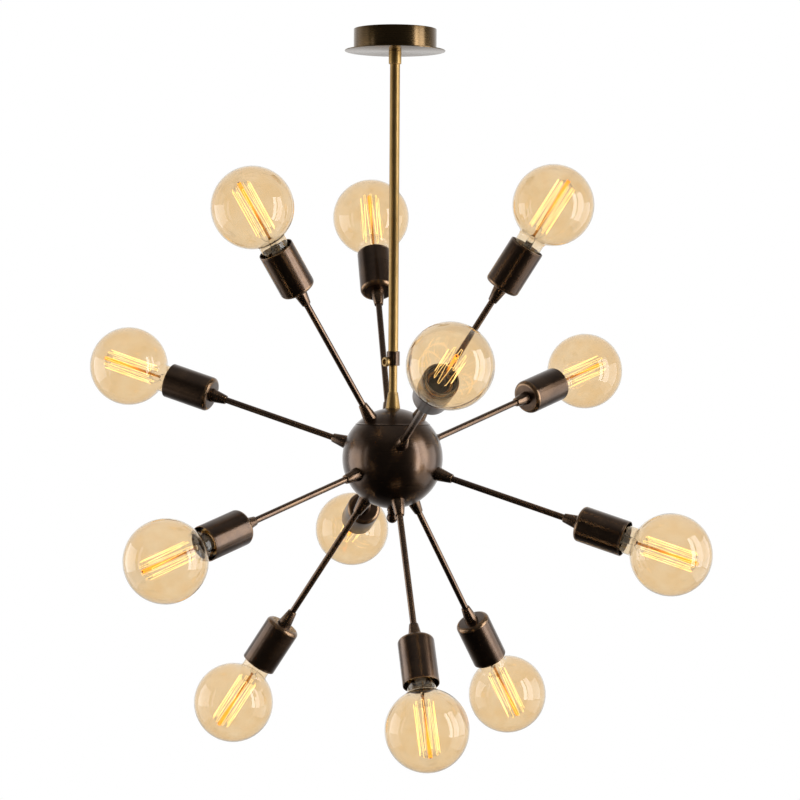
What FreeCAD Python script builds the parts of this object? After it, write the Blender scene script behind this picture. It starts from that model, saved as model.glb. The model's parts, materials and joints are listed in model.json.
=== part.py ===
# Twelve-light sputnik chandelier on a telescopic stem.
#
# Frame: +Z up, origin on the stem axis in the plane of the ceiling. The front of the lamp faces -Y.
# Turned pieces are sketched as half outlines (radius, height) and revolved about Z. The pieces of an
# arm are sketched once, with their heights counted from the hub's centre, and laid out along the
# twelve arm directions.

import FreeCAD, Part

import math
import os
import re

import Sketcher

# ---------------------------------------------------------------------------------------------
# Driving dimensions, in millimetres unless the name says otherwise
# ---------------------------------------------------------------------------------------------

SIZES = {
    # canopy and ceiling fixing
    "drum_radius": 49.0,
    "drum_height": 25.0,
    "drum_wall": 1.2,
    "drum_flange_width": 6.0,
    "plate_radius": 59.5,
    "plate_thickness": 1.0,
    "plate_edge_chamfer": 0.3,
    "crossbar_length": 92.0,
    "crossbar_width": 18.0,
    "crossbar_thickness": 2.0,
    "slot_spacing": 70.0,
    "slot_length": 14.0,
    "slot_width": 4.8,
    "nipple_radius": 5.0,
    "nipple_bore_radius": 3.5,
    "nipple_grip": 7.0,
    "earth_screw_offset": 16.0,
    "earth_screw_radius": 1.9,
    "earth_screw_head_radius": 3.6,
    "earth_screw_head_height": 2.4,
    "nut_across_flats": 14.0,
    "nut_height": 4.0,
    # stem
    "coupling_radius": 7.5,
    "coupling_length": 15.2,
    "coupling_chamfer": 0.8,
    "outer_tube_radius": 5.9,
    "outer_tube_bore_radius": 5.0,
    "outer_tube_visible": 339.5,
    "outer_tube_grip": 6.0,
    "collar_radius": 7.8,
    "collar_length": 17.0,
    "collar_chamfer": 0.5,
    "stem_running_clearance": 0.05,
    "inner_tube_wall": 1.0,
    "inner_tube_visible": 31.5,
    "inner_tube_hidden": 300.0,
    "inner_tube_tail": 12.0,
    "stem_cone_narrow_radius": 5.9,
    "stem_cone_wide_radius": 8.8,
    "stem_cone_length": 19.3,
    "cable_radius": 2.6,
    "cable_tail": 6.0,
    # thumb screw
    "screw_azimuth": 216.0,
    "screw_drop": 12.5,
    "screw_radius": 2.0,
    "screw_head_radius": 5.8,
    "screw_head_length": 4.6,
    "screw_head_standoff": 0.6,
    "screw_recess_radius": 3.0,
    "screw_recess_depth": 3.0,
    "screw_chamfer": 0.6,
    "screw_running_clearance": 0.05,
    # hub
    "hub_radius": 59.5,
    "hub_wall": 2.0,
    "seam_height": 40.0,
    "seam_groove": 0.5,
    "spigot_depth": 4.0,
    "spigot_wall": 1.2,
    "spigot_clearance": 0.1,
    "spot_face_depth": 0.5,
    "spot_face_clearance": 0.3,
    "yoke_width": 32.0,
    "yoke_height": 40.0,
    "yoke_depth": 12.0,
    "yoke_strap": 3.0,
    "yoke_azimuth": 10.0,
    "tie_rod_radius": 2.5,
    "tie_rod_tail": 4.0,
    "finial_washer_radius": 6.2,
    "finial_washer_height": 3.6,
    "finial_neck_radius": 5.6,
    "finial_neck_height": 3.0,
    "finial_ball_radius": 6.7,
    "finial_bore_depth": 9.0,
    "connector_radius": 4.5,
    "connector_tip_radius": 3.2,
    "connector_length": 16.0,
    # arms
    "arm_reach": 241.3,
    "arm_tube_radius": 3.8,
    "arm_tube_bore_radius": 2.8,
    "arm_tube_tail": 14.0,
    "arm_tube_grip": 10.0,
    "arm_cone_narrow_radius": 5.3,
    "arm_cone_wide_radius": 8.5,
    "arm_cone_length": 19.0,
    "arm_nut_across_flats": 12.0,
    "arm_nut_height": 4.0,
    "wire_width": 4.0,
    "wire_thickness": 2.0,
    "wire_inner_end": 34.0,
    # sockets
    "cup_radius": 21.0,
    "cup_wall": 1.0,
    "cup_length": 58.0,
    "cup_corner_radius": 5.0,
    "holder_radius": 18.5,
    "holder_length": 50.0,
    "holder_floor": 17.0,
    "contact_width": 5.0,
    "contact_height": 8.0,
    # bulbs
    "bulb_clearance": 0.1,
    "bulb_length": 136.2,
    "globe_radius": 47.5,
    "glass_wall": 0.8,
    "neck_radius": 16.5,
    "neck_height": 4.5,
    "neck_fillet": 6.0,
    "cap_radius": 13.1,
    "cap_length": 27.0,
    "cap_wall": 0.6,
    "cap_contact_radius": 5.0,
    "cap_contact_height": 4.0,
    "mount_base_radius": 7.0,
    "mount_base_height": 20.0,
    "mount_rod_radius": 1.5,
    "mount_rod_end": 34.0,
    "filament_wire": 0.7,
    "filament_near_radius": 11.0,
    "filament_far_radius": 16.0,
    "filament_near": 33.0,
    "filament_far": 28.0,
    "filament_hook": 1.6,
}

# Azimuth and elevation of each arm in degrees: four tiers of three, as the hub is drilled.
ARM_ANGLES = {
    "01": (220.0, 54.0),
    "02": (98.5, 56.0),
    "03": (340.0, 56.5),
    "04": (280.5, 18.0),
    "05": (162.0, 17.5),
    "06": (44.5, 17.0),
    "07": (223.0, -17.5),
    "08": (99.0, -17.0),
    "09": (339.5, -17.0),
    "10": (165.0, -56.5),
    "11": (282.0, -56.5),
    "12": (44.0, -56.0),
}

FILAMENT_RUNS = 12

# ---------------------------------------------------------------------------------------------
# Document, spreadsheet and formulas
# ---------------------------------------------------------------------------------------------

doc = FreeCAD.newDocument("chandelier")
sheet = doc.addObject("Spreadsheet::Sheet", "Sizes")
for arm, (azimuth, elevation) in ARM_ANGLES.items():
    SIZES[f"arm_{arm}_azimuth"] = azimuth
    SIZES[f"arm_{arm}_elevation"] = elevation
for row, (alias, size) in enumerate(SIZES.items(), start=1):
    sheet.set(f"A{row}", str(size))
    sheet.setAlias(f"A{row}", alias)
doc.recompute()

ALIAS = re.compile(r"\b(" + "|".join(sorted(SIZES, key=len, reverse=True)) + r")\b")


def formula(text):
    """The expression text with each size's name made a reference to its cell."""
    return ALIAS.sub(r"Sizes.\1", text)


def number(text):
    """What a formula comes to, in millimetres or degrees."""
    return float(sheet.evalExpression(formula(text)))


# Heights down the stem, each counted from the ceiling.
PLATE_TOP = "(-drum_height)"
PLATE_BOTTOM = f"({PLATE_TOP} - plate_thickness)"
COUPLING_BOTTOM = f"({PLATE_BOTTOM} - coupling_length)"
COLLAR_TOP = f"({COUPLING_BOTTOM} - outer_tube_visible)"
COLLAR_BOTTOM = f"({COLLAR_TOP} - collar_length)"
CONE_TOP = f"({COLLAR_BOTTOM} - inner_tube_visible)"
CONE_BOTTOM = f"({CONE_TOP} - stem_cone_length)"
HUB = f"({CONE_BOTTOM} - sqrt(hub_radius ^ 2 - stem_cone_wide_radius ^ 2))"
INNER_TUBE_RADIUS = "(outer_tube_bore_radius - stem_running_clearance)"
STEM_BORE = "outer_tube_bore_radius"

# Heights along the stem inside the hub, counted from the hub's centre.
HUB_INSIDE = "(hub_radius - hub_wall)"
STEM_SEAT = f"sqrt({HUB_INSIDE} ^ 2 - (nut_across_flats / sqrt(3)) ^ 2)"
YOKE_TOP = f"({STEM_SEAT} - nut_height)"
YOKE_BOTTOM = f"({YOKE_TOP} - yoke_height)"

# Heights along an arm, counted from the hub's centre.
CUP_BACK = "arm_reach"
CUP_FLOOR = f"({CUP_BACK} + cup_wall)"
CUP_RIM = f"({CUP_BACK} + cup_length)"
HOLDER_FLOOR = f"({CUP_FLOOR} + holder_floor)"
HOLDER_MOUTH = f"({CUP_FLOOR} + holder_length)"
BULB_TIP = f"({HOLDER_FLOOR} + contact_height + bulb_clearance)"
CAP_TOP = f"({BULB_TIP} + cap_length)"
GLOBE = f"({BULB_TIP} + bulb_length - globe_radius)"
NUT_SEAT = f"({HUB_INSIDE} + spot_face_depth)"


# ---------------------------------------------------------------------------------------------
# Ways of making a piece
# ---------------------------------------------------------------------------------------------


def origin_plane(body, role):
    """One of the body's own base planes."""
    return next(plane for plane in body.Origin.OriginFeatures if plane.Role == role)


def new_sketch(body, name, role="XZ_Plane"):
    """An empty sketch on one of the body's base planes."""
    sketch = body.newObject("Sketcher::SketchObject", name)
    sketch.AttachmentSupport = [(origin_plane(body, role), "")]
    sketch.MapMode = "FlatFace"
    return sketch


def bind(sketch, constraint, name, text):
    """Adds a constraint that takes its size from a formula."""
    index = sketch.addConstraint(constraint)
    sketch.renameConstraint(index, name)
    sketch.setExpression(f"Constraints.{name}", formula(text))


def arc_through(start, end, radius):
    """An arc between two points; with a positive radius it bulges to the right on its way."""
    chord = end - start
    half = chord.Length / 2
    rise = abs(radius) - max(radius * radius - half * half, 0) ** 0.5
    side = FreeCAD.Vector(chord.y, -chord.x, 0).normalize() * (rise if radius > 0 else -rise)
    return Part.Arc(start, (start + end) / 2 + side, end)


def outline(sketch, points):
    """Draws a closed outline through (radius, height[, arc radius to the next point]) formulas."""
    places = [FreeCAD.Vector(number(point[0]), number(point[1]), 0) for point in points]
    count = len(points)
    for index, point in enumerate(points):
        start, end = places[index], places[(index + 1) % count]
        if len(point) == 3:
            sketch.addGeometry(arc_through(start, end, number(point[2])))
        else:
            sketch.addGeometry(Part.LineSegment(start, end))
    clockwise = [len(point) == 3 and number(point[2]) < 0 for point in points]
    for index, point in enumerate(points):
        before = (index - 1) % count
        first = 2 if clockwise[index] else 1
        last = 1 if clockwise[before] else 2
        sketch.addConstraint(Sketcher.Constraint("Coincident", before, last, index, first))
        if point[0] == "0":
            sketch.addConstraint(Sketcher.Constraint("PointOnObject", index, first, -2))
        else:
            across = Sketcher.Constraint("DistanceX", -1, 1, index, first, places[index].x)
            bind(sketch, across, f"radius_{index}", point[0])
        along = Sketcher.Constraint("DistanceY", -1, 1, index, first, places[index].y)
        bind(sketch, along, f"height_{index}", point[1])
        if len(point) == 3:
            size = abs(number(point[2]))
            bind(sketch, Sketcher.Constraint("Radius", index, size), f"arc_{index}", f"abs({point[2]})")


def turned(label, points):
    """A body revolved about Z from a closed half outline."""
    body = doc.addObject("PartDesign::Body", label)
    body.Label = label
    sketch = new_sketch(body, f"{label}_outline")
    outline(sketch, points)
    turn = body.newObject("PartDesign::Revolution", f"{label}_turn")
    turn.Profile = sketch
    turn.ReferenceAxis = (sketch, ["V_Axis"])
    turn.Angle = 360
    sketch.Visibility = False
    return body


def tube(outer, inner, low, high):
    """The half outline of a plain tube."""
    return [(inner, low), (outer, low), (outer, high), (inner, high)]


def hex_nut(label, across_flats, bore, low, height):
    """A hexagon nut padded up from a height on the Z axis."""
    body = doc.addObject("PartDesign::Body", label)
    body.Label = label
    sketch = new_sketch(body, f"{label}_outline", "XY_Plane")
    corner = number(f"{across_flats} / sqrt(3)")
    places = [FreeCAD.Vector(corner, 0, 0)]
    for _ in range(5):
        places.append(FreeCAD.Rotation(FreeCAD.Vector(0, 0, 1), 60).multVec(places[-1]))
    for index in range(6):
        sketch.addGeometry(Part.LineSegment(places[index], places[(index + 1) % 6]))
    guide = sketch.addGeometry(Part.Circle(FreeCAD.Vector(0, 0, 0), FreeCAD.Vector(0, 0, 1), corner), True)
    hole = sketch.addGeometry(Part.Circle(FreeCAD.Vector(0, 0, 0), FreeCAD.Vector(0, 0, 1), number(bore)))
    for index in range(6):
        sketch.addConstraint(Sketcher.Constraint("Coincident", index, 2, (index + 1) % 6, 1))
        sketch.addConstraint(Sketcher.Constraint("PointOnObject", index, 1, guide))
    for index in range(5):
        sketch.addConstraint(Sketcher.Constraint("Equal", index, index + 1))
    sketch.addConstraint(Sketcher.Constraint("Coincident", guide, 3, -1, 1))
    sketch.addConstraint(Sketcher.Constraint("Coincident", hole, 3, -1, 1))
    sketch.addConstraint(Sketcher.Constraint("PointOnObject", 0, 1, -1))
    bind(sketch, Sketcher.Constraint("Radius", guide, corner), "corner", f"{across_flats} / sqrt(3)")
    bind(sketch, Sketcher.Constraint("Radius", hole, number(bore)), "bore", bore)
    sketch.setExpression("AttachmentOffset.Base.z", formula(low))
    pad = body.newObject("PartDesign::Pad", f"{label}_pad")
    pad.Profile = sketch
    pad.setExpression("Length", formula(height))
    return body


def box(label, length, width, height, low_x, low_y, low_z):
    """A Part box with every size and its corner bound to formulas."""
    block = doc.addObject("Part::Box", label)
    block.Label = label
    for name, text in (("Length", length), ("Width", width), ("Height", height)):
        block.setExpression(name, formula(text))
    for axis, text in zip("xyz", (low_x, low_y, low_z)):
        block.setExpression(f"Placement.Base.{axis}", formula(text))
    return block


def cylinder(label, radius, height, low_z):
    """A Part cylinder standing on the Z axis."""
    rod = doc.addObject("Part::Cylinder", label)
    rod.Label = label
    rod.setExpression("Radius", formula(radius))
    rod.setExpression("Height", formula(height))
    rod.setExpression("Placement.Base.z", formula(low_z))
    return rod


def compound(label, pieces):
    """One object that holds several separate solids."""
    group = doc.addObject("Part::Compound", label)
    group.Label = label
    group.Links = pieces
    return group


def cut(label, base, tool):
    """The base with the tool's space taken out of it."""
    result = doc.addObject("Part::Cut", label)
    result.Label = label
    result.Base = base
    result.Tool = tool
    return result


def lifted(label, piece, height=HUB):
    """A link to a piece modelled about the origin, set at a height on the stem."""
    link = doc.addObject("App::Link", label)
    link.Label = label
    link.LinkedObject = piece
    link.setExpression("Placement.Base.z", formula(height))
    return link


def on_arm(label, piece, arm):
    """A link to an arm piece, laid along one arm's direction from the hub's centre."""
    link = doc.addObject("App::Link", label)
    link.Label = label
    link.LinkedObject = piece
    link.LinkTransform = True
    turn = f"rotation(vector(0; 0; 1); arm_{arm}_azimuth)"
    tilt = f"rotation(vector(0; 1; 0); 90 - arm_{arm}_elevation)"
    link.setExpression("Placement", formula(f"placement(vector(0; 0; {HUB}); {turn} * {tilt})"))
    return link


nodes = []

# ---------------------------------------------------------------------------------------------
# Ceiling fixing and canopy
# ---------------------------------------------------------------------------------------------


def slot_hole(sketch, name, centre, spacing, radius):
    """Draws a slot along X: two half circles of the radius, their centres the spacing apart."""
    middle, half, size = number(centre), number(spacing) / 2, number(radius)
    up = FreeCAD.Vector(0, 0, 1)
    right = Part.Circle(FreeCAD.Vector(middle + half, 0, 0), up, size)
    left = Part.Circle(FreeCAD.Vector(middle - half, 0, 0), up, size)
    first = sketch.addGeometry(Part.ArcOfCircle(right, -math.pi / 2, math.pi / 2))
    second = sketch.addGeometry(Part.ArcOfCircle(left, math.pi / 2, math.pi * 3 / 2))
    top = sketch.addGeometry(
        Part.LineSegment(FreeCAD.Vector(middle + half, size, 0), FreeCAD.Vector(middle - half, size, 0))
    )
    bottom = sketch.addGeometry(
        Part.LineSegment(FreeCAD.Vector(middle - half, -size, 0), FreeCAD.Vector(middle + half, -size, 0))
    )
    for pair in ((first, 2, top, 1), (top, 2, second, 1), (second, 2, bottom, 1), (bottom, 2, first, 1)):
        sketch.addConstraint(Sketcher.Constraint("Tangent", *pair))
    sketch.addConstraint(Sketcher.Constraint("PointOnObject", first, 3, -1))
    sketch.addConstraint(Sketcher.Constraint("PointOnObject", second, 3, -1))
    bind(sketch, Sketcher.Constraint("Radius", first, size), f"{name}_radius", radius)
    bind(
        sketch,
        Sketcher.Constraint("DistanceX", -1, 1, first, 3, middle + half),
        f"{name}_right",
        f"{centre} + ({spacing}) / 2",
    )
    bind(
        sketch,
        Sketcher.Constraint("DistanceX", -1, 1, second, 3, middle - half),
        f"{name}_left",
        f"{centre} - ({spacing}) / 2",
    )


def round_hole(sketch, name, centre, radius):
    """Draws a circle centred on the sketch's X axis."""
    place = FreeCAD.Vector(number(centre), 0, 0)
    hole = sketch.addGeometry(Part.Circle(place, FreeCAD.Vector(0, 0, 1), number(radius)))
    sketch.addConstraint(Sketcher.Constraint("PointOnObject", hole, 3, -1))
    bind(sketch, Sketcher.Constraint("DistanceX", -1, 1, hole, 3, place.x), f"{name}_place", centre)
    bind(sketch, Sketcher.Constraint("Radius", hole, number(radius)), f"{name}_radius", radius)


def ceiling_crossbar():
    """The steel strap that two screws hold to the ceiling box."""
    body = doc.addObject("PartDesign::Body", "ceiling_crossbar")
    sketch = new_sketch(body, "crossbar_outline", "XY_Plane")
    slot_hole(sketch, "strap", "0", "crossbar_length - crossbar_width", "crossbar_width / 2")
    slot_hole(sketch, "right_slot", "slot_spacing / 2", "slot_length - slot_width", "slot_width / 2")
    slot_hole(sketch, "left_slot", "-slot_spacing / 2", "slot_length - slot_width", "slot_width / 2")
    round_hole(sketch, "nipple_hole", "0", "nipple_radius")
    round_hole(sketch, "earth_hole", "-earth_screw_offset", "earth_screw_radius")
    pad = body.newObject("PartDesign::Pad", "crossbar_pad")
    pad.Profile = sketch
    pad.setExpression("Length", formula("crossbar_thickness"))
    pad.Reversed = True
    return body


nodes.append(ceiling_crossbar())

NIPPLE_BOTTOM = f"({PLATE_BOTTOM} - nipple_grip)"
nodes.append(turned("crossbar_nipple", tube("nipple_radius", "nipple_bore_radius", NIPPLE_BOTTOM, "0")))
crossbar_locknut = hex_nut(
    "crossbar_locknut", "nut_across_flats", "nipple_radius", "-crossbar_thickness - nut_height", "nut_height"
)


def earth_screw():
    """The pan-head screw for the earth wire, under the strap."""
    head_low = "-crossbar_thickness - earth_screw_head_height"
    body = turned(
        "earth_screw",
        [
            ("0", head_low),
            ("earth_screw_head_radius", head_low),
            ("earth_screw_head_radius", "-crossbar_thickness"),
            ("earth_screw_radius", "-crossbar_thickness"),
            ("earth_screw_radius", "0"),
            ("0", "0"),
        ],
    )
    body.setExpression("Placement.Base.x", formula("-earth_screw_offset"))
    return body


nodes.append(compound("crossbar_fasteners", [crossbar_locknut, earth_screw()]))

# The drum is spun with a flange turned in at its foot, which sits on the plate.
nodes.append(
    turned(
        "canopy_drum",
        [
            ("drum_radius - drum_flange_width", PLATE_TOP),
            ("drum_radius", PLATE_TOP),
            ("drum_radius", "0"),
            ("drum_radius - drum_wall", "0"),
            ("drum_radius - drum_wall", f"{PLATE_TOP} + drum_wall"),
            ("drum_radius - drum_flange_width", f"{PLATE_TOP} + drum_wall"),
        ],
    )
)
nodes.append(
    turned(
        "canopy_plate",
        [
            ("nipple_radius", PLATE_BOTTOM),
            ("plate_radius - plate_edge_chamfer", PLATE_BOTTOM),
            ("plate_radius", f"{PLATE_BOTTOM} + plate_edge_chamfer"),
            ("plate_radius", f"{PLATE_TOP} - plate_edge_chamfer"),
            ("plate_radius - plate_edge_chamfer", PLATE_TOP),
            ("nipple_radius", PLATE_TOP),
        ],
    )
)

# ---------------------------------------------------------------------------------------------
# Stem
# ---------------------------------------------------------------------------------------------

OUTER_TUBE_TOP = f"({COUPLING_BOTTOM} + outer_tube_grip)"
OUTER_TUBE_BOTTOM = f"({COLLAR_TOP} - outer_tube_grip)"
nodes.append(
    turned(
        "stem_coupling",
        [
            ("outer_tube_radius", COUPLING_BOTTOM),
            ("coupling_radius - coupling_chamfer", COUPLING_BOTTOM),
            ("coupling_radius", f"{COUPLING_BOTTOM} + coupling_chamfer"),
            ("coupling_radius", PLATE_BOTTOM),
            ("nipple_radius", PLATE_BOTTOM),
            ("nipple_radius", OUTER_TUBE_TOP),
            ("outer_tube_radius", OUTER_TUBE_TOP),
        ],
    )
)
nodes.append(
    turned(
        "stem_outer_tube",
        tube("outer_tube_radius", "outer_tube_bore_radius", OUTER_TUBE_BOTTOM, OUTER_TUBE_TOP),
    )
)

SCREW_TURN = "rotation(vector(0; 0; 1); screw_azimuth) * rotation(vector(0; 1; 0); 90)"
SCREW_PLACE = f"placement(vector(0; 0; {COLLAR_TOP} - screw_drop); {SCREW_TURN})"


def clamp_collar():
    """The collar on the foot of the outer tube, tapped for the thumb screw."""
    blank = turned(
        "collar_blank",
        [
            ("outer_tube_bore_radius", COLLAR_BOTTOM),
            ("collar_radius - collar_chamfer", COLLAR_BOTTOM),
            ("collar_radius", f"{COLLAR_BOTTOM} + collar_chamfer"),
            ("collar_radius", f"{COLLAR_TOP} - collar_chamfer"),
            ("collar_radius - collar_chamfer", COLLAR_TOP),
            ("outer_tube_radius", COLLAR_TOP),
            ("outer_tube_radius", OUTER_TUBE_BOTTOM),
            ("outer_tube_bore_radius", OUTER_TUBE_BOTTOM),
        ],
    )
    drill = doc.addObject("Part::Cylinder", "collar_drill")
    drill.setExpression("Radius", formula("screw_radius + screw_running_clearance"))
    drill.setExpression("Height", formula("collar_radius * 2"))
    drill.setExpression("Placement", formula(SCREW_PLACE))
    return cut("clamp_collar", blank, drill)


def thumb_screw():
    """The ring-headed screw whose tip stands just clear of the inner tube."""
    head_low = "(collar_radius + screw_head_standoff)"
    head_high = f"({head_low} + screw_head_length)"
    body = turned(
        "thumb_screw",
        [
            ("0", "outer_tube_bore_radius"),
            ("screw_radius", "outer_tube_bore_radius"),
            ("screw_radius", head_low),
            ("screw_head_radius - screw_chamfer", head_low),
            ("screw_head_radius", f"{head_low} + screw_chamfer"),
            ("screw_head_radius", f"{head_high} - screw_chamfer"),
            ("screw_head_radius - screw_chamfer", head_high),
            ("screw_recess_radius", head_high),
            ("screw_recess_radius", f"{head_high} - screw_recess_depth"),
            ("0", f"{head_high} - screw_recess_depth"),
        ],
    )
    body.setExpression("Placement", formula(SCREW_PLACE))
    return body


nodes.append(clamp_collar())
nodes.append(thumb_screw())

INNER_TUBE_TOP = f"({COLLAR_TOP} + inner_tube_hidden)"
INNER_TUBE_BOTTOM = f"({HUB} + {STEM_SEAT} - inner_tube_tail)"
nodes.append(
    turned(
        "stem_inner_tube",
        tube(INNER_TUBE_RADIUS, f"{INNER_TUBE_RADIUS} - inner_tube_wall", INNER_TUBE_BOTTOM, INNER_TUBE_TOP),
    )
)
# The cone's foot is dished to the hub's own radius, so it beds all round.
nodes.append(
    lifted(
        "stem_cone",
        turned(
            "stem_cone_blank",
            [
                (STEM_BORE, f"sqrt(hub_radius ^ 2 - {STEM_BORE} ^ 2)", "-hub_radius"),
                ("stem_cone_wide_radius", "sqrt(hub_radius ^ 2 - stem_cone_wide_radius ^ 2)"),
                ("stem_cone_narrow_radius", f"{CONE_TOP} - {HUB}"),
                (STEM_BORE, f"{CONE_TOP} - {HUB}"),
            ],
        ),
    )
)
CABLE_BOTTOM = f"({INNER_TUBE_BOTTOM} - cable_tail)"
nodes.append(cylinder("supply_cable", "cable_radius", f"-{CABLE_BOTTOM}", CABLE_BOTTOM))

# ---------------------------------------------------------------------------------------------
# Hub
# ---------------------------------------------------------------------------------------------

# Each arm's drill also cuts the flat inside the wall that its nut is drawn up against. The drills start
# outside the middle of the hub, where they would run into one another.
SPOT_FACE_RADIUS = "(arm_nut_across_flats / sqrt(3) + spot_face_clearance)"
arm_drill = turned(
    "arm_drill",
    [
        ("0", f"{NUT_SEAT} - 2 * arm_nut_height"),
        (SPOT_FACE_RADIUS, f"{NUT_SEAT} - 2 * arm_nut_height"),
        (SPOT_FACE_RADIUS, NUT_SEAT),
        ("arm_tube_radius", NUT_SEAT),
        ("arm_tube_radius", "hub_radius + hub_wall"),
        ("0", "hub_radius + hub_wall"),
    ],
)
hub_drills = compound("hub_drills", [on_arm(f"hub_drill_{arm}", arm_drill, arm) for arm in ARM_ANGLES])


def hub_cap():
    """The dome over the seam, with a spigot that nests in the shell."""
    spigot_radius = f"(sqrt({HUB_INSIDE} ^ 2 - seam_height ^ 2) - spigot_clearance)"
    dome = turned(
        "hub_dome",
        [
            (STEM_BORE, f"sqrt({HUB_INSIDE} ^ 2 - {STEM_BORE} ^ 2)", f"-{HUB_INSIDE}"),
            (
                f"{spigot_radius} - spigot_wall",
                f"sqrt({HUB_INSIDE} ^ 2 - ({spigot_radius} - spigot_wall) ^ 2)",
            ),
            (f"{spigot_radius} - spigot_wall", "seam_height - spigot_depth"),
            (spigot_radius, "seam_height - spigot_depth"),
            (spigot_radius, "seam_height"),
            ("sqrt(hub_radius ^ 2 - (seam_height + seam_groove) ^ 2) - seam_groove", "seam_height"),
            (
                "sqrt(hub_radius ^ 2 - (seam_height + seam_groove) ^ 2)",
                "seam_height + seam_groove",
                "hub_radius",
            ),
            (STEM_BORE, f"sqrt(hub_radius ^ 2 - {STEM_BORE} ^ 2)"),
        ],
    )
    return cut("hub_cap", lifted("hub_dome_placed", dome), hub_drills)


def hub_shell():
    """The bowl of the hub, drilled for nine arms and the tie rod."""
    bowl = turned(
        "hub_bowl",
        [
            ("tie_rod_radius", "-sqrt(hub_radius ^ 2 - tie_rod_radius ^ 2)", "hub_radius"),
            ("sqrt(hub_radius ^ 2 - seam_height ^ 2)", "seam_height"),
            (f"sqrt({HUB_INSIDE} ^ 2 - seam_height ^ 2)", "seam_height", f"-{HUB_INSIDE}"),
            ("tie_rod_radius", f"-sqrt({HUB_INSIDE} ^ 2 - tie_rod_radius ^ 2)"),
        ],
    )
    return cut("hub_shell", lifted("hub_bowl_placed", bowl), hub_drills)


def hub_yoke():
    """The strap frame that hangs from the stem and takes the tie rod."""
    frame = box(
        "yoke_block",
        "yoke_width",
        "yoke_depth",
        "yoke_height",
        "-yoke_width / 2",
        "-yoke_depth / 2",
        f"{HUB} + {YOKE_BOTTOM}",
    )
    window = box(
        "yoke_window",
        "yoke_width - 2 * yoke_strap",
        "yoke_depth",
        "yoke_height - 2 * yoke_strap",
        "-yoke_width / 2 + yoke_strap",
        "-yoke_depth / 2",
        f"{HUB} + {YOKE_BOTTOM} + yoke_strap",
    )
    top_strap = f"{HUB} + {YOKE_TOP} - 2 * yoke_strap"
    stem_hole = cylinder("yoke_stem_hole", STEM_BORE, "2 * yoke_strap", top_strap)
    rod_hole = cylinder("yoke_rod_hole", "tie_rod_radius", "2 * yoke_strap", f"{HUB} + {YOKE_BOTTOM}")
    yoke = cut("hub_yoke", frame, compound("yoke_tools", [window, stem_hole, rod_hole]))
    turn = "rotation(vector(0; 0; 1); yoke_azimuth)"
    yoke.setExpression("Placement", formula(f"placement(vector(0; 0; 0); {turn})"))
    return yoke


def finial():
    """The turned ball nut under the hub."""
    seat = "sqrt(hub_radius ^ 2 - finial_washer_radius ^ 2)"
    washer_low = f"(-{seat} - finial_washer_height)"
    neck_low = f"({washer_low} - finial_neck_height)"
    ball_top = "sqrt(finial_ball_radius ^ 2 - finial_neck_radius ^ 2)"
    ball = f"({neck_low} - {ball_top})"
    return turned(
        "finial_blank",
        [
            ("0", f"{ball} - finial_ball_radius", "finial_ball_radius"),
            ("finial_neck_radius", neck_low),
            ("finial_neck_radius", washer_low),
            ("finial_washer_radius", washer_low),
            ("finial_washer_radius", f"-{seat}", "-hub_radius"),
            ("tie_rod_radius", "-sqrt(hub_radius ^ 2 - tie_rod_radius ^ 2)"),
            ("tie_rod_radius", "-hub_radius - finial_bore_depth"),
            ("0", "-hub_radius - finial_bore_depth"),
        ],
    )


nodes.append(hub_cap())
nodes.append(hub_shell())
stem_locknut = hex_nut("stem_locknut", "nut_across_flats", STEM_BORE, f"{HUB} + {YOKE_TOP}", "nut_height")
nodes.append(hub_yoke())
nodes.append(
    cylinder(
        "tie_rod",
        "tie_rod_radius",
        f"{YOKE_BOTTOM} + yoke_strap + tie_rod_tail + hub_radius + finial_bore_depth",
        f"{HUB} - hub_radius - finial_bore_depth",
    )
)
nodes.append(lifted("finial", finial()))


def wire_connectors():
    """The two caps that join the twelve pairs of wires to the supply, side by side under the cable."""
    closed_end = turned(
        "connector_blank",
        [
            ("0", "-connector_length"),
            ("connector_tip_radius", "-connector_length"),
            ("connector_radius", "0"),
            ("0", "0"),
        ],
    )
    pair = []
    for name, side in (("live", "-"), ("neutral", "")):
        link = lifted(f"connector_{name}", closed_end, CABLE_BOTTOM)
        link.setExpression("Placement.Base.x", formula(f"{side}connector_radius"))
        pair.append(link)
    return compound("wire_connectors", pair)


nodes.append(wire_connectors())

# ---------------------------------------------------------------------------------------------
# Arms and sockets: modelled once along Z, then laid on each arm
# ---------------------------------------------------------------------------------------------

arm_tube = turned(
    "arm_tube",
    tube(
        "arm_tube_radius",
        "arm_tube_bore_radius",
        f"{HUB_INSIDE} - arm_tube_tail",
        f"{CUP_FLOOR} + arm_tube_grip",
    ),
)
hub_cone = turned(
    "hub_cone",
    [
        ("arm_tube_radius", "sqrt(hub_radius ^ 2 - arm_tube_radius ^ 2)", "-hub_radius"),
        ("arm_cone_wide_radius", "sqrt(hub_radius ^ 2 - arm_cone_wide_radius ^ 2)"),
        ("arm_cone_narrow_radius", "hub_radius + arm_cone_length"),
        ("arm_tube_radius", "hub_radius + arm_cone_length"),
    ],
)
socket_cone = turned(
    "socket_cone",
    [
        ("arm_tube_radius", f"{CUP_BACK} - arm_cone_length"),
        ("arm_cone_narrow_radius", f"{CUP_BACK} - arm_cone_length"),
        ("arm_cone_wide_radius", CUP_BACK),
        ("arm_tube_radius", CUP_BACK),
    ],
)
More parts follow.
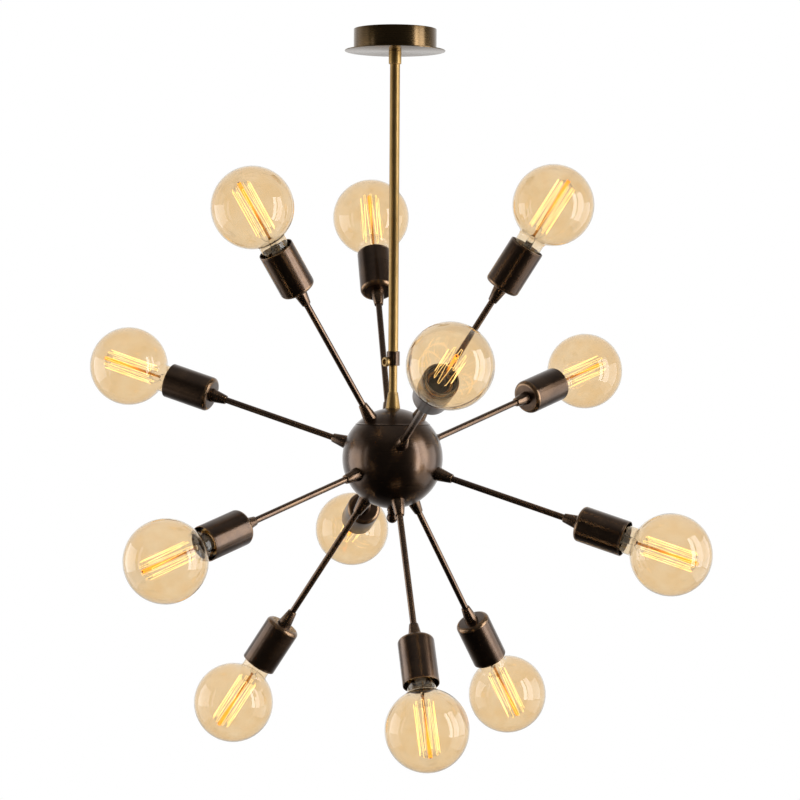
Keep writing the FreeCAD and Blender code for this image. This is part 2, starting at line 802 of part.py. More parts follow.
socket_cup = turned(
    "socket_cup",
    [
        ("arm_tube_radius", CUP_BACK),
        ("cup_radius - cup_corner_radius", CUP_BACK, "cup_corner_radius"),
        ("cup_radius", f"{CUP_BACK} + cup_corner_radius"),
        ("cup_radius", CUP_RIM),
        ("cup_radius - cup_wall", CUP_RIM),
        ("cup_radius - cup_wall", f"{CUP_BACK} + cup_corner_radius"),
        ("cup_radius - cup_corner_radius", CUP_FLOOR),
        ("arm_tube_radius", CUP_FLOOR),
    ],
)
HOLDER_BORE = "(cap_radius + bulb_clearance)"
lampholder = turned(
    "lampholder",
    [
        ("arm_tube_radius", CUP_FLOOR),
        ("cup_radius - cup_corner_radius", CUP_FLOOR),
        ("holder_radius", f"{CUP_BACK} + cup_corner_radius"),
        ("holder_radius", HOLDER_MOUTH),
        (HOLDER_BORE, HOLDER_MOUTH),
        (HOLDER_BORE, HOLDER_FLOOR),
        ("arm_tube_radius", HOLDER_FLOOR),
    ],
)
centre_contact = box(
    "centre_contact",
    "contact_width",
    "contact_width",
    "contact_height + holder_floor - arm_tube_grip",
    "-contact_width / 2",
    "-contact_width / 2",
    f"{CUP_FLOOR} + arm_tube_grip",
)
arm_nut = hex_nut(
    "arm_nut", "arm_nut_across_flats", "arm_tube_radius", f"{NUT_SEAT} - arm_nut_height", "arm_nut_height"
)
arm_wire = box(
    "arm_wire",
    "wire_width",
    "wire_thickness",
    f"{CUP_FLOOR} + arm_tube_grip - wire_inner_end",
    "-wire_width / 2",
    "-wire_thickness / 2",
    "wire_inner_end",
)


def on_each_arm(*pieces):
    """A copy of each piece on every arm."""
    return [on_arm(f"{piece.Name}_{arm}", piece, arm) for piece in pieces for arm in ARM_ANGLES]


nodes.append(compound("hub_cones", on_each_arm(hub_cone)))
nodes.append(compound("socket_cones", on_each_arm(socket_cone)))
nodes.append(compound("socket_cups", on_each_arm(socket_cup)))
nodes.append(compound("lampholders", on_each_arm(lampholder)))
nodes.append(compound("arm_wiring", on_each_arm(arm_wire, centre_contact)))
nodes.append(compound("hub_locknuts", [stem_locknut, *on_each_arm(arm_nut)]))

# ---------------------------------------------------------------------------------------------
# Bulbs
# ---------------------------------------------------------------------------------------------


def bulb_glass():
    """The thin glass: a globe that runs through a fillet into a short neck, narrowed into the cap."""
    fillet_across = "(neck_radius + neck_fillet)"
    fillet_along = f"sqrt((globe_radius + neck_fillet) ^ 2 - {fillet_across} ^ 2)"
    share = "globe_radius / (globe_radius + neck_fillet)"
    inside = "(globe_radius - glass_wall)"
    inner_neck = "(neck_radius - glass_wall)"
    points = [
        ("0", f"{GLOBE} + globe_radius", "-globe_radius"),
        (f"{fillet_across} * {share}", f"{GLOBE} - {fillet_along} * {share}", "neck_fillet"),
        ("neck_radius", f"{GLOBE} - {fillet_along}"),
        ("neck_radius", f"{CAP_TOP} + neck_height"),
        ("cap_radius - cap_wall", CAP_TOP),
        ("cap_radius - cap_wall - glass_wall", CAP_TOP),
        (inner_neck, f"{CAP_TOP} + neck_height"),
        (inner_neck, f"{GLOBE} - sqrt({inside} ^ 2 - {inner_neck} ^ 2)"),
    ]
    # Inside, flats of 20 degrees each are enough: the wall only thickens a little at their middles.
    for angle in range(140, 0, -20):
        points.append((f"{inside} * sin({angle})", f"{GLOBE} + {inside} * cos({angle})"))
    points.append(("0", f"{GLOBE} + {inside}"))
    return turned("bulb_glass", points)


def bulb_cap():
    """The screw cap with its insulator and centre contact."""
    return turned(
        "bulb_cap",
        [
            ("0", BULB_TIP),
            ("cap_contact_radius", BULB_TIP),
            ("cap_radius", f"{BULB_TIP} + cap_contact_height"),
            ("cap_radius", CAP_TOP),
            ("0", CAP_TOP),
        ],
    )


def bulb_mount():
    """The glass stem that stands on the cap and carries the filament."""
    return turned(
        "bulb_mount",
        [
            ("0", CAP_TOP),
            ("mount_base_radius", CAP_TOP),
            ("mount_rod_radius", f"{CAP_TOP} + mount_base_height"),
            ("mount_rod_radius", f"{GLOBE} + mount_rod_end"),
            ("0", f"{GLOBE} + mount_rod_end"),
        ],
    )


def spoke(angle, radius, height):
    """The point at an angle, a radius and a height."""
    return FreeCAD.Rotation(FreeCAD.Vector(0, 0, 1), angle).multVec(FreeCAD.Vector(radius, 0, height))


def bulb_filament():
    """The squirrel-cage filament: one square wire that zigzags between hooks round the glass rod."""
    near = (number("filament_near_radius"), number(f"{GLOBE} - filament_near"))
    far = (number("filament_far_radius"), number(f"{GLOBE} + filament_far"))
    lead = (number("mount_rod_radius + filament_wire"), number(f"{CAP_TOP} + mount_base_height"))
    hook = number("filament_hook")
    places = [spoke(0, *lead)]
    for corner in range(FILAMENT_RUNS + 1):
        ring = far if corner % 2 else near
        angle = corner * 360 / (FILAMENT_RUNS + 1)
        half = math.degrees(hook / 2 / ring[0])
        places += [spoke(angle - half, *ring), spoke(angle + half, *ring)]
    places.append(spoke(angle, *lead))
    path = Part.makePolygon(places)
    first = (places[1] - places[0]).normalize()
    side = first.cross(FreeCAD.Vector(0, 0, 1)).normalize() * (number("filament_wire") / 2)
    rise = first.cross(side)
    corners = [places[0] + offset for offset in (side + rise, rise - side, -side - rise, side - rise)]
    section = Part.makePolygon(corners + corners[:1])
    wire = doc.addObject("Part::Feature", "bulb_filament")
    wire.Shape = path.makePipeShell([section], True, False, 1)
    return wire


glass, cap, mount, filament = bulb_glass(), bulb_cap(), bulb_mount(), bulb_filament()
for arm in ARM_ANGLES:
    nodes.append(on_arm(f"arm_tube_{arm}", arm_tube, arm))
    nodes.append(on_arm(f"bulb_glass_{arm}", glass, arm))
    base = [on_arm(f"{piece.Name}_{arm}", piece, arm) for piece in (cap, mount, filament)]
    nodes.append(compound(f"bulb_base_{arm}", base))

# ---------------------------------------------------------------------------------------------
# Checks and files
# ---------------------------------------------------------------------------------------------

doc.recompute()
for item in doc.Objects:
    if "Invalid" in item.State or "Error" in item.State:
        raise RuntimeError(f"{item.Label} failed: {item.State}")
os.makedirs("parts", exist_ok=True)
for node in nodes:
    shape = Part.getShape(node)
    if shape.isNull() or not shape.isValid():
        raise RuntimeError(f"{node.Label} has no valid shape")
    shape.exportStep(f"parts/{node.Label}.step")
print(f"{len(nodes)} nodes, hub centre {number(HUB):.2f}, globe centre {number(GLOBE):.2f} from the hub")
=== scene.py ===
"""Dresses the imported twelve-light chandelier: toned brass and bronze, amber globes, glowing filaments.

Every visible turned piece is modelled again from its half outline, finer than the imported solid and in
the same place. Lengths in the classes are millimetres; Blender's own units here are metres.
"""

import json
import logging
import math
from dataclasses import dataclass, field
from enum import Enum

import bmesh
import bpy
from mathutils import Matrix, Vector

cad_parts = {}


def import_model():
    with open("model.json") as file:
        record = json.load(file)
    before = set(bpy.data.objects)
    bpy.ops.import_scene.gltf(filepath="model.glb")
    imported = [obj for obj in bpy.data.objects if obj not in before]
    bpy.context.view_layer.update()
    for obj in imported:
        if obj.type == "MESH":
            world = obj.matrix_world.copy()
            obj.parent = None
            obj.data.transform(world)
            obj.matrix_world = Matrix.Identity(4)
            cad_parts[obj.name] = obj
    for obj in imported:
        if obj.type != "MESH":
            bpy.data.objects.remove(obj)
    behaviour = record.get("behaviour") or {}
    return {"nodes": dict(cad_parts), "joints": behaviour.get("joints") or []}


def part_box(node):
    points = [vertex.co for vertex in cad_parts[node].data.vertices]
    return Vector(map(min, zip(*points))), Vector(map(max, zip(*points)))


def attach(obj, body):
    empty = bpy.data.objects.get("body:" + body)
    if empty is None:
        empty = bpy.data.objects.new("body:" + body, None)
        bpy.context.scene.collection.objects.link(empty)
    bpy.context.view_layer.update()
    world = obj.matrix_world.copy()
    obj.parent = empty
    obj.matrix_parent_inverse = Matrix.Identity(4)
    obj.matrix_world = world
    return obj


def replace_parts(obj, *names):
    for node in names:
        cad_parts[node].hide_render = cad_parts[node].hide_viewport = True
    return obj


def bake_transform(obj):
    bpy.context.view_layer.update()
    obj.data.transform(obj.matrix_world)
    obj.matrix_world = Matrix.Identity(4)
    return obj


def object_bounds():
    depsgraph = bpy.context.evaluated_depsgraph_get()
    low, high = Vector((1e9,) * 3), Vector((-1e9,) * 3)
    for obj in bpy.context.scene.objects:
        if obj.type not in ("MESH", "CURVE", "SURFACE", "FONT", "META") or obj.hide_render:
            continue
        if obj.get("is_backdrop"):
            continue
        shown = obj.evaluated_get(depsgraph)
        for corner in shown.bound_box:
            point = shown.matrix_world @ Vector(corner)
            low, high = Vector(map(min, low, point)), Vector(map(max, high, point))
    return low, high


LOG = logging.getLogger("chandelier")
MM = 0.001
FULL_TURN = 2 * math.pi
WELD_DISTANCE = 1e-7
SHARP_ANGLE = math.radians(32)
KEPT_WELD = 1e-6

Setting = float | int | bool | str | tuple[float, ...] | bpy.types.NodeSocket
Inputs = dict[str | int, Setting] | tuple[Setting, ...]


# --- Colours and nodes ---


def linear(code: str) -> tuple[float, float, float, float]:
    """Turns an sRGB hex code into the linear colour that a shader takes.

    Args:
        code: The colour as "#rrggbb".

    Returns:
        Red, green, blue and an alpha of 1.
    """
    shares = [int(code[start : start + 2], 16) / 255 for start in (1, 3, 5)]
    red, green, blue = (s / 12.92 if s <= 0.04045 else ((s + 0.055) / 1.055) ** 2.4 for s in shares)
    return red, green, blue, 1.0


def feed(tree: bpy.types.NodeTree, node: bpy.types.Node, inputs: Inputs) -> None:
    """Gives a node's input sockets their values and links.

    Args:
        tree: The node tree.
        node: The node.
        inputs: Values or other nodes' outputs, by the socket's name or index, or in order from the first.
    """
    for name, value in inputs.items() if isinstance(inputs, dict) else enumerate(inputs):
        if isinstance(value, bpy.types.NodeSocket):
            tree.links.new(value, node.inputs[name])
        else:
            node.inputs[name].default_value = value


def add(tree: bpy.types.NodeTree, kind: str, inputs: Inputs = (), **settings: Setting) -> bpy.types.Node:
    """Adds a node to a tree, with its settings and links.

    Args:
        tree: The node tree.
        kind: The node's type name.
        inputs: Its input sockets, as feed takes them.
        settings: The node's own properties.

    Returns:
        The new node.
    """
    node = tree.nodes.new(kind)
    for name, value in settings.items():
        setattr(node, name, value)
    feed(tree, node, inputs)
    return node


def new_material(name: str) -> tuple[bpy.types.Material, bpy.types.NodeTree, bpy.types.Node]:
    """Makes a material that holds one Principled shader.

    Args:
        name: The material's name.

    Returns:
        The material, its node tree and its shader.
    """
    material = bpy.data.materials.new(name)
    material.use_nodes = True
    tree = material.node_tree
    tree.nodes.clear()
    shader = add(tree, "ShaderNodeBsdfPrincipled")
    add(tree, "ShaderNodeOutputMaterial", {"Surface": shader.outputs["BSDF"]})
    return material, tree, shader


def patches(
    tree: bpy.types.NodeTree, size_mm: float, detail: float = 3.0, rough: float = 0.5
) -> bpy.types.NodeSocket:
    """Makes a pattern that drifts over a piece in patches of a real size.

    Args:
        tree: The node tree.
        size_mm: The patches' size.
        detail: The octaves of finer patches.
        rough: How strong the finer ones are.

    Returns:
        The pattern's value, mostly between 0.3 and 0.7.
    """
    place = add(tree, "ShaderNodeTexCoord").outputs["Object"]
    inputs = {"Vector": place, "Scale": 1 / (size_mm * MM), "Detail": detail, "Roughness": rough}
    return add(tree, "ShaderNodeTexNoise", inputs).outputs[0]


def shaded(
    tree: bpy.types.NodeTree,
    pattern: bpy.types.NodeSocket,
    reach: tuple[float, float],
    first: str,
    second: str,
    most: float = 1.0,
) -> bpy.types.NodeSocket:
    """Colours a pattern.

    Args:
        tree: The node tree.
        pattern: The pattern's value.
        reach: The values at which it turns from the first colour and reaches the second.
        first: A colour as "#rrggbb".
        second: Another.
        most: The largest share of the second colour.

    Returns:
        The colour's socket.
    """
    share = add(tree, "ShaderNodeMapRange", (pattern, *reach, 0.0, most)).outputs[0]
    colours = {0: share, 6: linear(first), 7: linear(second)}
    return add(tree, "ShaderNodeMix", colours, data_type="RGBA").outputs[2]


# --- Finishes ---


@dataclass(frozen=True)
class LatheToned:
    """Brass spun or turned on a lathe, chemically toned, rubbed back and lacquered.

    The tool and the abrasive leave rings round the piece, which stretch each reflection along its axis,
    and the rubbed edges show paler metal.
    """

    name: str
    slot: str
    tone: str
    worn: str
    edge: str
    roughness: float
    anisotropy: float = 0.6
    lacquer: float = 0.7
    ring_mm: float = 0.7  # real rings are about 0.1 mm apart: drawn coarser, or they wouldn't show
    patina_mm: float = 24.0
    ring_depth_mm: float = 0.001

    def build(self) -> bpy.types.Material:
        """Builds the material."""
        material, tree, shader = new_material(self.name)
        lathe = add(tree, "ShaderNodeAttribute", attribute_name="lathe").outputs["Vector"]
        scale = (0.6, 0.6, 1 / self.ring_mm)
        rings = add(tree, "ShaderNodeMapping", {"Vector": lathe, "Scale": scale}).outputs["Vector"]
        inputs = {"Vector": rings, "Scale": 1.0, "Detail": 3.0, "Roughness": 0.65}
        streak = add(tree, "ShaderNodeTexNoise", inputs).outputs[0]
        patina = patches(tree, self.patina_mm, 4.0, 0.55)
        bare = add(tree, "ShaderNodeMapRange", (patina, 0.38, 0.66, 0.0, 0.75)).outputs[0]
        ringed = add(tree, "ShaderNodeMapRange", (streak, 0.3, 0.7, 0.7, 1.0)).outputs[0]
        lined = add(tree, "ShaderNodeMath", (bare, ringed), operation="MULTIPLY").outputs[0]
        colours = {0: lined, 6: linear(self.tone), 7: linear(self.worn)}
        toned = add(tree, "ShaderNodeMix", colours, data_type="RGBA").outputs[2]
        edge = add(tree, "ShaderNodeAttribute", attribute_name="edge").outputs["Fac"]
        colours = {0: edge, 6: toned, 7: linear(self.edge)}
        low, high = self.roughness * 0.9, self.roughness * 1.12
        bump = {"Height": streak, "Strength": 0.5, "Distance": self.ring_depth_mm * MM}
        tangent = add(tree, "ShaderNodeTangent", direction_type="UV_MAP", uv_map="round")
        inputs = {
            "Base Color": add(tree, "ShaderNodeMix", colours, data_type="RGBA").outputs[2],
            "Roughness": add(tree, "ShaderNodeMapRange", (streak, 0.3, 0.7, low, high)).outputs[0],
            "Metallic": 1.0,
            "Anisotropic": self.anisotropy,
            "Anisotropic Rotation": 0.25,
            "Coat Weight": self.lacquer,
            "Coat Roughness": 0.18,
            "Tangent": tangent.outputs["Tangent"],
            "Normal": add(tree, "ShaderNodeBump", bump).outputs["Normal"],
        }
        feed(tree, shader, inputs)
        return material


@dataclass(frozen=True)
class PlatedSteel:
    """Bright plated or plain steel: a cold, slightly cloudy shine."""

    name: str
    slot: str
    colour: str
    cloudy: str
    roughness: float = 0.3
    grain_mm: float = 3.0

    def build(self) -> bpy.types.Material:
        """Builds the material."""
        material, tree, shader = new_material(self.name)
        cloud = patches(tree, self.grain_mm, 4.0)
        low, high = self.roughness * 0.8, self.roughness * 1.3
        inputs = {
            "Base Color": shaded(tree, cloud, (0.4, 0.65), self.colour, self.cloudy),
            "Roughness": add(tree, "ShaderNodeMapRange", (cloud, 0.35, 0.65, low, high)).outputs[0],
            "Metallic": 1.0,
        }
        feed(tree, shader, inputs)
        return material


@dataclass(frozen=True)
class Moulded:
    """Moulded plastic, rubber or fired china: a skin with a faint grain from the mould."""

    name: str
    slot: str
    colour: str
    mottle: str
    roughness: float = 0.4
    grain_mm: float = 0.6

    def build(self) -> bpy.types.Material:
        """Builds the material."""
        material, tree, shader = new_material(self.name)
        grain = patches(tree, self.grain_mm)
        bump = {"Height": grain, "Strength": 0.2, "Distance": 0.05 * MM}
        inputs = {
            "Base Color": shaded(tree, grain, (0.35, 0.7), self.colour, self.mottle),
            "Roughness": self.roughness,
            "Normal": add(tree, "ShaderNodeBump", bump).outputs["Normal"],
        }
        feed(tree, shader, inputs)
        return material


@dataclass(frozen=True)
class BlownGlass:
    """Soda-lime glass blown thin, clear or with a tint sprayed inside that runs in faint waves."""

    name: str
    slot: str
    tint: str
    thin_tint: str
    wave_mm: float = 22.0

    def build(self) -> bpy.types.Material:
        """Builds the material."""
        material, tree, shader = new_material(self.name)
        wave = patches(tree, self.wave_mm, 2.0)
        thinned = add(tree, "ShaderNodeAttribute", attribute_name="thin").outputs["Fac"]
        tinted = shaded(tree, wave, (0.35, 0.7), self.tint, self.thin_tint, 0.5)
        colours = {0: thinned, 6: tinted, 7: linear(self.thin_tint)}
        bump = {"Height": wave, "Strength": 0.3, "Distance": 0.2 * MM}
        inputs = {
            "Base Color": add(tree, "ShaderNodeMix", colours, data_type="RGBA").outputs[2],
            "Transmission Weight": 1.0,
            "Roughness": 0.0,
            "IOR": 1.5,
            "Normal": add(tree, "ShaderNodeBump", bump).outputs["Normal"],
        }
        feed(tree, shader, inputs)
        return material


@dataclass(frozen=True)
class HotCarbon:
    """Carbon filament at work: yellow heat that is paler where the wire is hottest."""

    name: str
    slot: str
    cool: str
    hot: str
    strength: float
    span_mm: float = 18.0

    def build(self) -> bpy.types.Material:
        """Builds the material."""
        material, tree, shader = new_material(self.name)
        heat = patches(tree, self.span_mm, 1.0)
        inputs = {
            "Emission Color": shaded(tree, heat, (0.3, 0.7), self.cool, self.hot),
            "Emission Strength": self.strength,
            "Base Color": linear("#3a2a1c"),
            "Roughness": 0.7,
        }
        feed(tree, shader, inputs)
        return material


@dataclass(frozen=True)
class LitRod:
    """The glass rod inside the filament, with a painted glow that stands in for the filament's light carried
    along it.
    """

    name: str
    slot: str
    glass: str
    painted_glow: str
    strength: float
    # The painted glow starts at dark_mm and is full at bright_mm, along the rod's outline.
    dark_mm: float = 26.0
    bright_mm: float = 48.0
    seed_mm: float = 4.0

    def build(self) -> bpy.types.Material:
        """Builds the material."""
        material, tree, shader = new_material(self.name)
        lathe = add(tree, "ShaderNodeAttribute", attribute_name="lathe").outputs["Vector"]
        along = add(tree, "ShaderNodeSeparateXYZ", {0: lathe}).outputs["Z"]
        # Painted glow: emission that rises along the rod, in place of the filament's light in the glass.
        lit = add(tree, "ShaderNodeMapRange", (along, self.dark_mm, self.bright_mm, 0.0, self.strength))
        inputs = {
            "Emission Strength": lit.outputs[0],
            "Emission Color": shaded(tree, patches(tree, self.seed_mm), (0.35, 0.65), self.painted_glow, self.glass),
            "Base Color": linear(self.glass),
            "Transmission Weight": 0.75,
            "Roughness": 0.05,
        }
        feed(tree, shader, inputs)
        return material


class Finish(Enum):
    """The finishes of the lamp's pieces."""

    DARK_BRONZE = LatheToned(
        "toned_bronze", "dark_bronze", "#523f31", "#6d5540", "#98795a", 0.3, lacquer=0.55
    )
    # A paler copy of the dark bronze for the cones and the arm tubes: its paler colour paints in the brighter
    # highlights these pieces show.
    RUBBED_BRONZE = LatheToned(
        "paler_bronze", "dark_bronze", "#665040", "#84684c", "#ab8a64", 0.27, lacquer=0.5
    )
    BRASS = LatheToned(
        "antiqued_brass", "antique_brass", "#b59359", "#c5a367", "#c3a473", 0.48, 0.3, 0.3
    )
    CANOPY = LatheToned(
        "spun_canopy_brass", "antique_brass", "#6c5535", "#7f6540", "#846a47", 0.27, lacquer=0.4
    )
    ZINC = PlatedSteel("zinc_plate", "zinc_steel", "#b9bcbd", "#9a9fa3")
    CAP_METAL = PlatedSteel("rolled_brass_cap", "bulb_metal", "#c6a05a", "#a9854a", 0.2)
    HOOK_WIRE = PlatedSteel("hook_wire", "bulb_metal", "#b0a9a0", "#8a847d", 0.3)
    BAKELITE = Moulded("phenolic_moulding", "holder_bakelite", "#20120a", "#2c190d", 0.25)
    CEMENT = Moulded("basing_cement", "bulb_metal", "#24160c", "#33210f", 0.8)
    INSULATOR = Moulded("black_glass_insulator", "bulb_metal", "#17161a", "#201f24", 0.15)
    SHEATH = Moulded("cable_sheath", "cable_sheath", "#1c1c1d", "#242425", 0.55)
    WIRE = Moulded("wire_insulation", "wire_insulation", "#c8c3b4", "#b9b3a2", 0.5)
    CONNECTOR = Moulded("connector_moulding", "connector_plastic", "#c76a22", "#b65d1c", 0.45)
    AMBER = BlownGlass("amber_blown_glass", "amber_glass", "#f4e0c0", "#f8eddb")
    CLEAR = BlownGlass("clear_stem_glass", "bulb_metal", "#fbf8f2", "#ffffff")
    # The rod's emission is a painted glow, not a lamp.
    ROD = LitRod("glass_rod_painted_glow", "bulb_metal", "#e3a646", "#ff9a12", 0.9)
    FILAMENT = HotCarbon("glowing_carbon", "bulb_metal", "#ffd07a", "#ffe3a0", 3.2)

    def material(self) -> bpy.types.Material:
        """The finish's material, built the first time it is asked for."""
        found = bpy.data.materials.get(self.value.name)
        return found or self.value.build()

    def put_on(self, piece: bpy.types.Object) -> None:
        """Dresses a piece in the finish.

        Args:
            piece: The piece.
        """
        piece.data.materials.clear()
        piece.data.materials.append(self.material())


# --- Turning a half outline into a piece ---


class Outline:
    """A half outline in the XZ plane, drawn as one wire: X is the radius and Z the height."""

    def __init__(self, radius: float, height: float) -> None:
        """Starts the wire.

        Args:
            radius: The first point's radius in millimetres.
            height: Its height.
        """
        self.mesh = bmesh.new()
        self.along = self.mesh.verts.layers.float.new("along")
        self.edge = self.mesh.verts.layers.float.new("edge")
        self.first = self.mesh.verts.new((radius * MM, 0, height * MM))
        self.last = self.first
        self.rounds: list[tuple[bmesh.types.BMVert, float, float]] = []

    def line(self, radius: float, height: float, rounded: float = 0.0, worn: float = 0.0) -> "Outline":
        """Draws a straight stretch.

        Args:
            radius: The next point's radius.
            height: Its height.
            rounded: The radius of the rounding at that point.
            worn: How far the rounding is rubbed bright, from 0 to 1.

        Returns:
            The outline.
        """
        made = bmesh.ops.extrude_vert_indiv(self.mesh, verts=[self.last])
        self.last = made["verts"][0]
        self.last.co = Vector((radius * MM, 0, height * MM))
        if rounded:
            self.rounds.append((self.last, rounded, worn))
        return self

    def arc(self, radius: float, height: float, degrees: float, steps: int) -> "Outline":
        """Draws an arc about a centre.

        Args:
            radius: The centre's radius from the axis.
            height: The centre's height.
            degrees: The arc's angle; positive goes from +X towards +Z.
            steps: How many segments it has.

        Returns:
            The outline.
        """
        made = bmesh.ops.spin(
            self.mesh,
            geom=[self.last],
            cent=(radius * MM, 0, height * MM),
            axis=(0, -1, 0),
            dvec=(0, 0, 0),
            angle=math.radians(degrees),
            steps=steps,
        )
        self.last = next(item for item in made["geom_last"] if isinstance(item, bmesh.types.BMVert))
        return self

    def closed(self) -> "Outline":
        """Joins the last point to the first."""
        self.mesh.edges.new((self.last, self.first))
        return self

    def _round(self) -> None:
        """Rounds the corners that ask for it and marks the rubbed ones."""
        for corner, size, worn in self.rounds:
            steps = max(3, min(8, round(size * 2) + 2))
            made = bmesh.ops.bevel(
                self.mesh,
                geom=[corner],
                offset=size * MM,
                offset_type="OFFSET",
                segments=steps,
                profile=0.5,
                affect="VERTICES",
                material=-1,
            )
            fresh = set(made["verts"])
            for vert in fresh:
                inner = all(edge.other_vert(vert) in fresh for edge in vert.link_edges)
                vert[self.edge] = worn if inner else 0.0

    def _measure(self) -> None:
        """Writes each point's distance along the wire, in millimetres, from its lowest end."""
        ends = [vert for vert in self.mesh.verts if len(vert.link_edges) == 1]
        here = min(ends or self.mesh.verts, key=lambda vert: (vert.co.z, vert.co.x))
        seen = {here}
        travelled = 0.0
        while here is not None:
            here[self.along] = travelled / MM
            onward = None
            for edge in here.link_edges:
                other = edge.other_vert(here)
                if other not in seen:
                    onward = other
                    travelled += edge.calc_length()
                    break
            here = onward
            if here is not None:
                seen.add(here)

    def spun(self, steps: int = 64, wall: float = 0.0) -> bmesh.types.BMesh:
        """Revolves the outline about Z.

        Args:
            steps: How many segments go round.
            wall: A wall thickness to give an open skin, inwards, in millimetres.

        Returns:
            The turned mesh, its faces pointing outwards.
        """
        self._round()
        self._measure()
        turned = self.mesh
        bmesh.ops.spin(
            turned,
            geom=turned.verts[:] + turned.edges[:],
            cent=(0, 0, 0),
            axis=(0, 0, 1),
            dvec=(0, 0, 0),
            angle=FULL_TURN,
            steps=steps,
            use_merge=True,
        )
        bmesh.ops.remove_doubles(turned, verts=turned.verts, dist=WELD_DISTANCE)
        bmesh.ops.recalc_face_normals(turned, faces=turned.faces)
        if wall:
            bmesh.ops.solidify(turned, geom=turned.faces[:], thickness=wall * MM)
        return turned


def mark_turning(shape: bmesh.types.BMesh) -> None:
    """Writes the attributes that the turned finishes read, while the axis still is Z.

    The vector "lathe" holds the cosine and sine of the angle and the distance along the outline. The
    UV map "round" runs round the piece in U and along it in V, for the direction of the brushing.

    Args:
        shape: The turned mesh, in place on the Z axis.
    """
    along = shape.verts.layers.float.get("along")
    lathe = shape.verts.layers.float_vector.new("lathe")
    uv = shape.loops.layers.uv.new("round")
    for vert in shape.verts:
        angle = math.atan2(vert.co.y, vert.co.x)
        vert[lathe] = Vector((math.cos(angle), math.sin(angle), vert[along]))
    for face in shape.faces:
        middle = face.calc_center_median()
        centre = math.atan2(middle.y, middle.x)
        for loop in face.loops:
            place = loop.vert.co
            angle = math.atan2(place.y, place.x) if place.xy.length > WELD_DISTANCE else centre
            turn = (angle - centre + math.pi) % FULL_TURN - math.pi + centre
            loop[uv].uv = (turn / FULL_TURN, loop.vert[along] * MM)


def dressed_mesh(
    shape: bmesh.types.BMesh, name: str, finish: Finish, place: Matrix | None = None
) -> bpy.types.Object:
    """Makes a shape a smooth piece with a finish.

    Args:
        shape: The mesh, which is freed.
        name: The piece's name.
        finish: What it is made of.
        place: Where it goes, baked into its mesh.

    Returns:
        The piece.
    """
    if place is not None:
        bmesh.ops.transform(shape, matrix=place, verts=shape.verts)
    mesh = bpy.data.meshes.new(name)
    shape.to_mesh(mesh)
    shape.free()
    mesh.polygons.foreach_set("use_smooth", [True] * len(mesh.polygons))
    mesh.set_sharp_from_angle(angle=SHARP_ANGLE)
    piece = bpy.data.objects.new(name, mesh)
    bpy.context.scene.collection.objects.link(piece)
    finish.put_on(piece)
    LOG.info("%s has %d faces", name, len(mesh.polygons))
    return piece


def finished(
    shape: bmesh.types.BMesh, name: str, finish: Finish, body: str, place: Matrix | None = None
) -> bpy.types.Object:
    """Makes a shape a dressed piece that rides on a body; the arguments are those of dressed_mesh."""
    piece = dressed_mesh(shape, name, finish, place)
    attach(piece, body)
    return piece


def turned_piece(
    outline: Outline,
    name: str,
    finish: Finish,
    body: str,
    place: Matrix | None = None,
    steps: int = 64,
    wall: float = 0.0,
) -> bpy.types.Object:
    """Turns an outline and makes it a finished piece.

    Args:
        outline: The half outline.
        name: The piece's name.
        finish: What it is made of.
        body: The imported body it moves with.
        place: Where its axis goes.
        steps: How many segments go round.
        wall: A wall thickness for an open skin, in millimetres.

    Returns:
        The piece.
    """
    shape = outline.spun(steps, wall)
    mark_turning(shape)
    return finished(shape, name, finish, body, place)


def sleeve(bore: float, radius: float, low: float, high: float) -> Outline:
    """The half outline of a plain tube, in millimetres."""
    return Outline(bore, low).line(radius, low).line(radius, high).line(bore, high).closed()


def span(node: str) -> tuple[float, float]:
    """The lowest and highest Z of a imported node, in millimetres."""
    low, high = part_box(node)
    return low.z / MM, high.z / MM


def half_width(node: str) -> float:
    """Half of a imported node's extent along X, in millimetres."""
    low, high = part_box(node)
    return (high.x - low.x) / 2 / MM


# --- The lamp's sub-assemblies ---


@dataclass
class Canopy:
    """The spun drum against the ceiling and the wider plate that closes it."""

    drum_wall: float = 1.2
    flange_width: float = 6.0
    bend: float = 1.0
    plate_hole: float = 5.0
    plate_edge: float = 0.3

    def build(self) -> None:
        """Builds the drum and the plate."""
        radius = half_width("canopy_drum")
        low, high = span("canopy_drum")
        inner = radius - self.drum_wall
        drum = (
            Outline(radius - self.flange_width, low)
            .line(radius, low, self.bend, 0.3)
            .line(radius, high, 0.4, 0.4)
            .line(inner, high, 0.3, 0.4)
            .line(inner, low + self.drum_wall)
            .line(radius - self.flange_width, low + self.drum_wall)
            .closed()
        )
        piece = turned_piece(drum, "canopy_drum_shell", Finish.CANOPY, "root", steps=128)
        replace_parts(piece, "canopy_drum")
        radius = half_width("canopy_plate")
        low, high = span("canopy_plate")
        plate = (
            Outline(self.plate_hole, low)
            .line(radius, low, self.plate_edge)
            .line(radius, high, self.plate_edge)
            .line(self.plate_hole, high)
            .closed()
        )
        piece = turned_piece(plate, "canopy_plate_disc", Finish.CANOPY, "root", steps=128)
        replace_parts(piece, "canopy_plate")


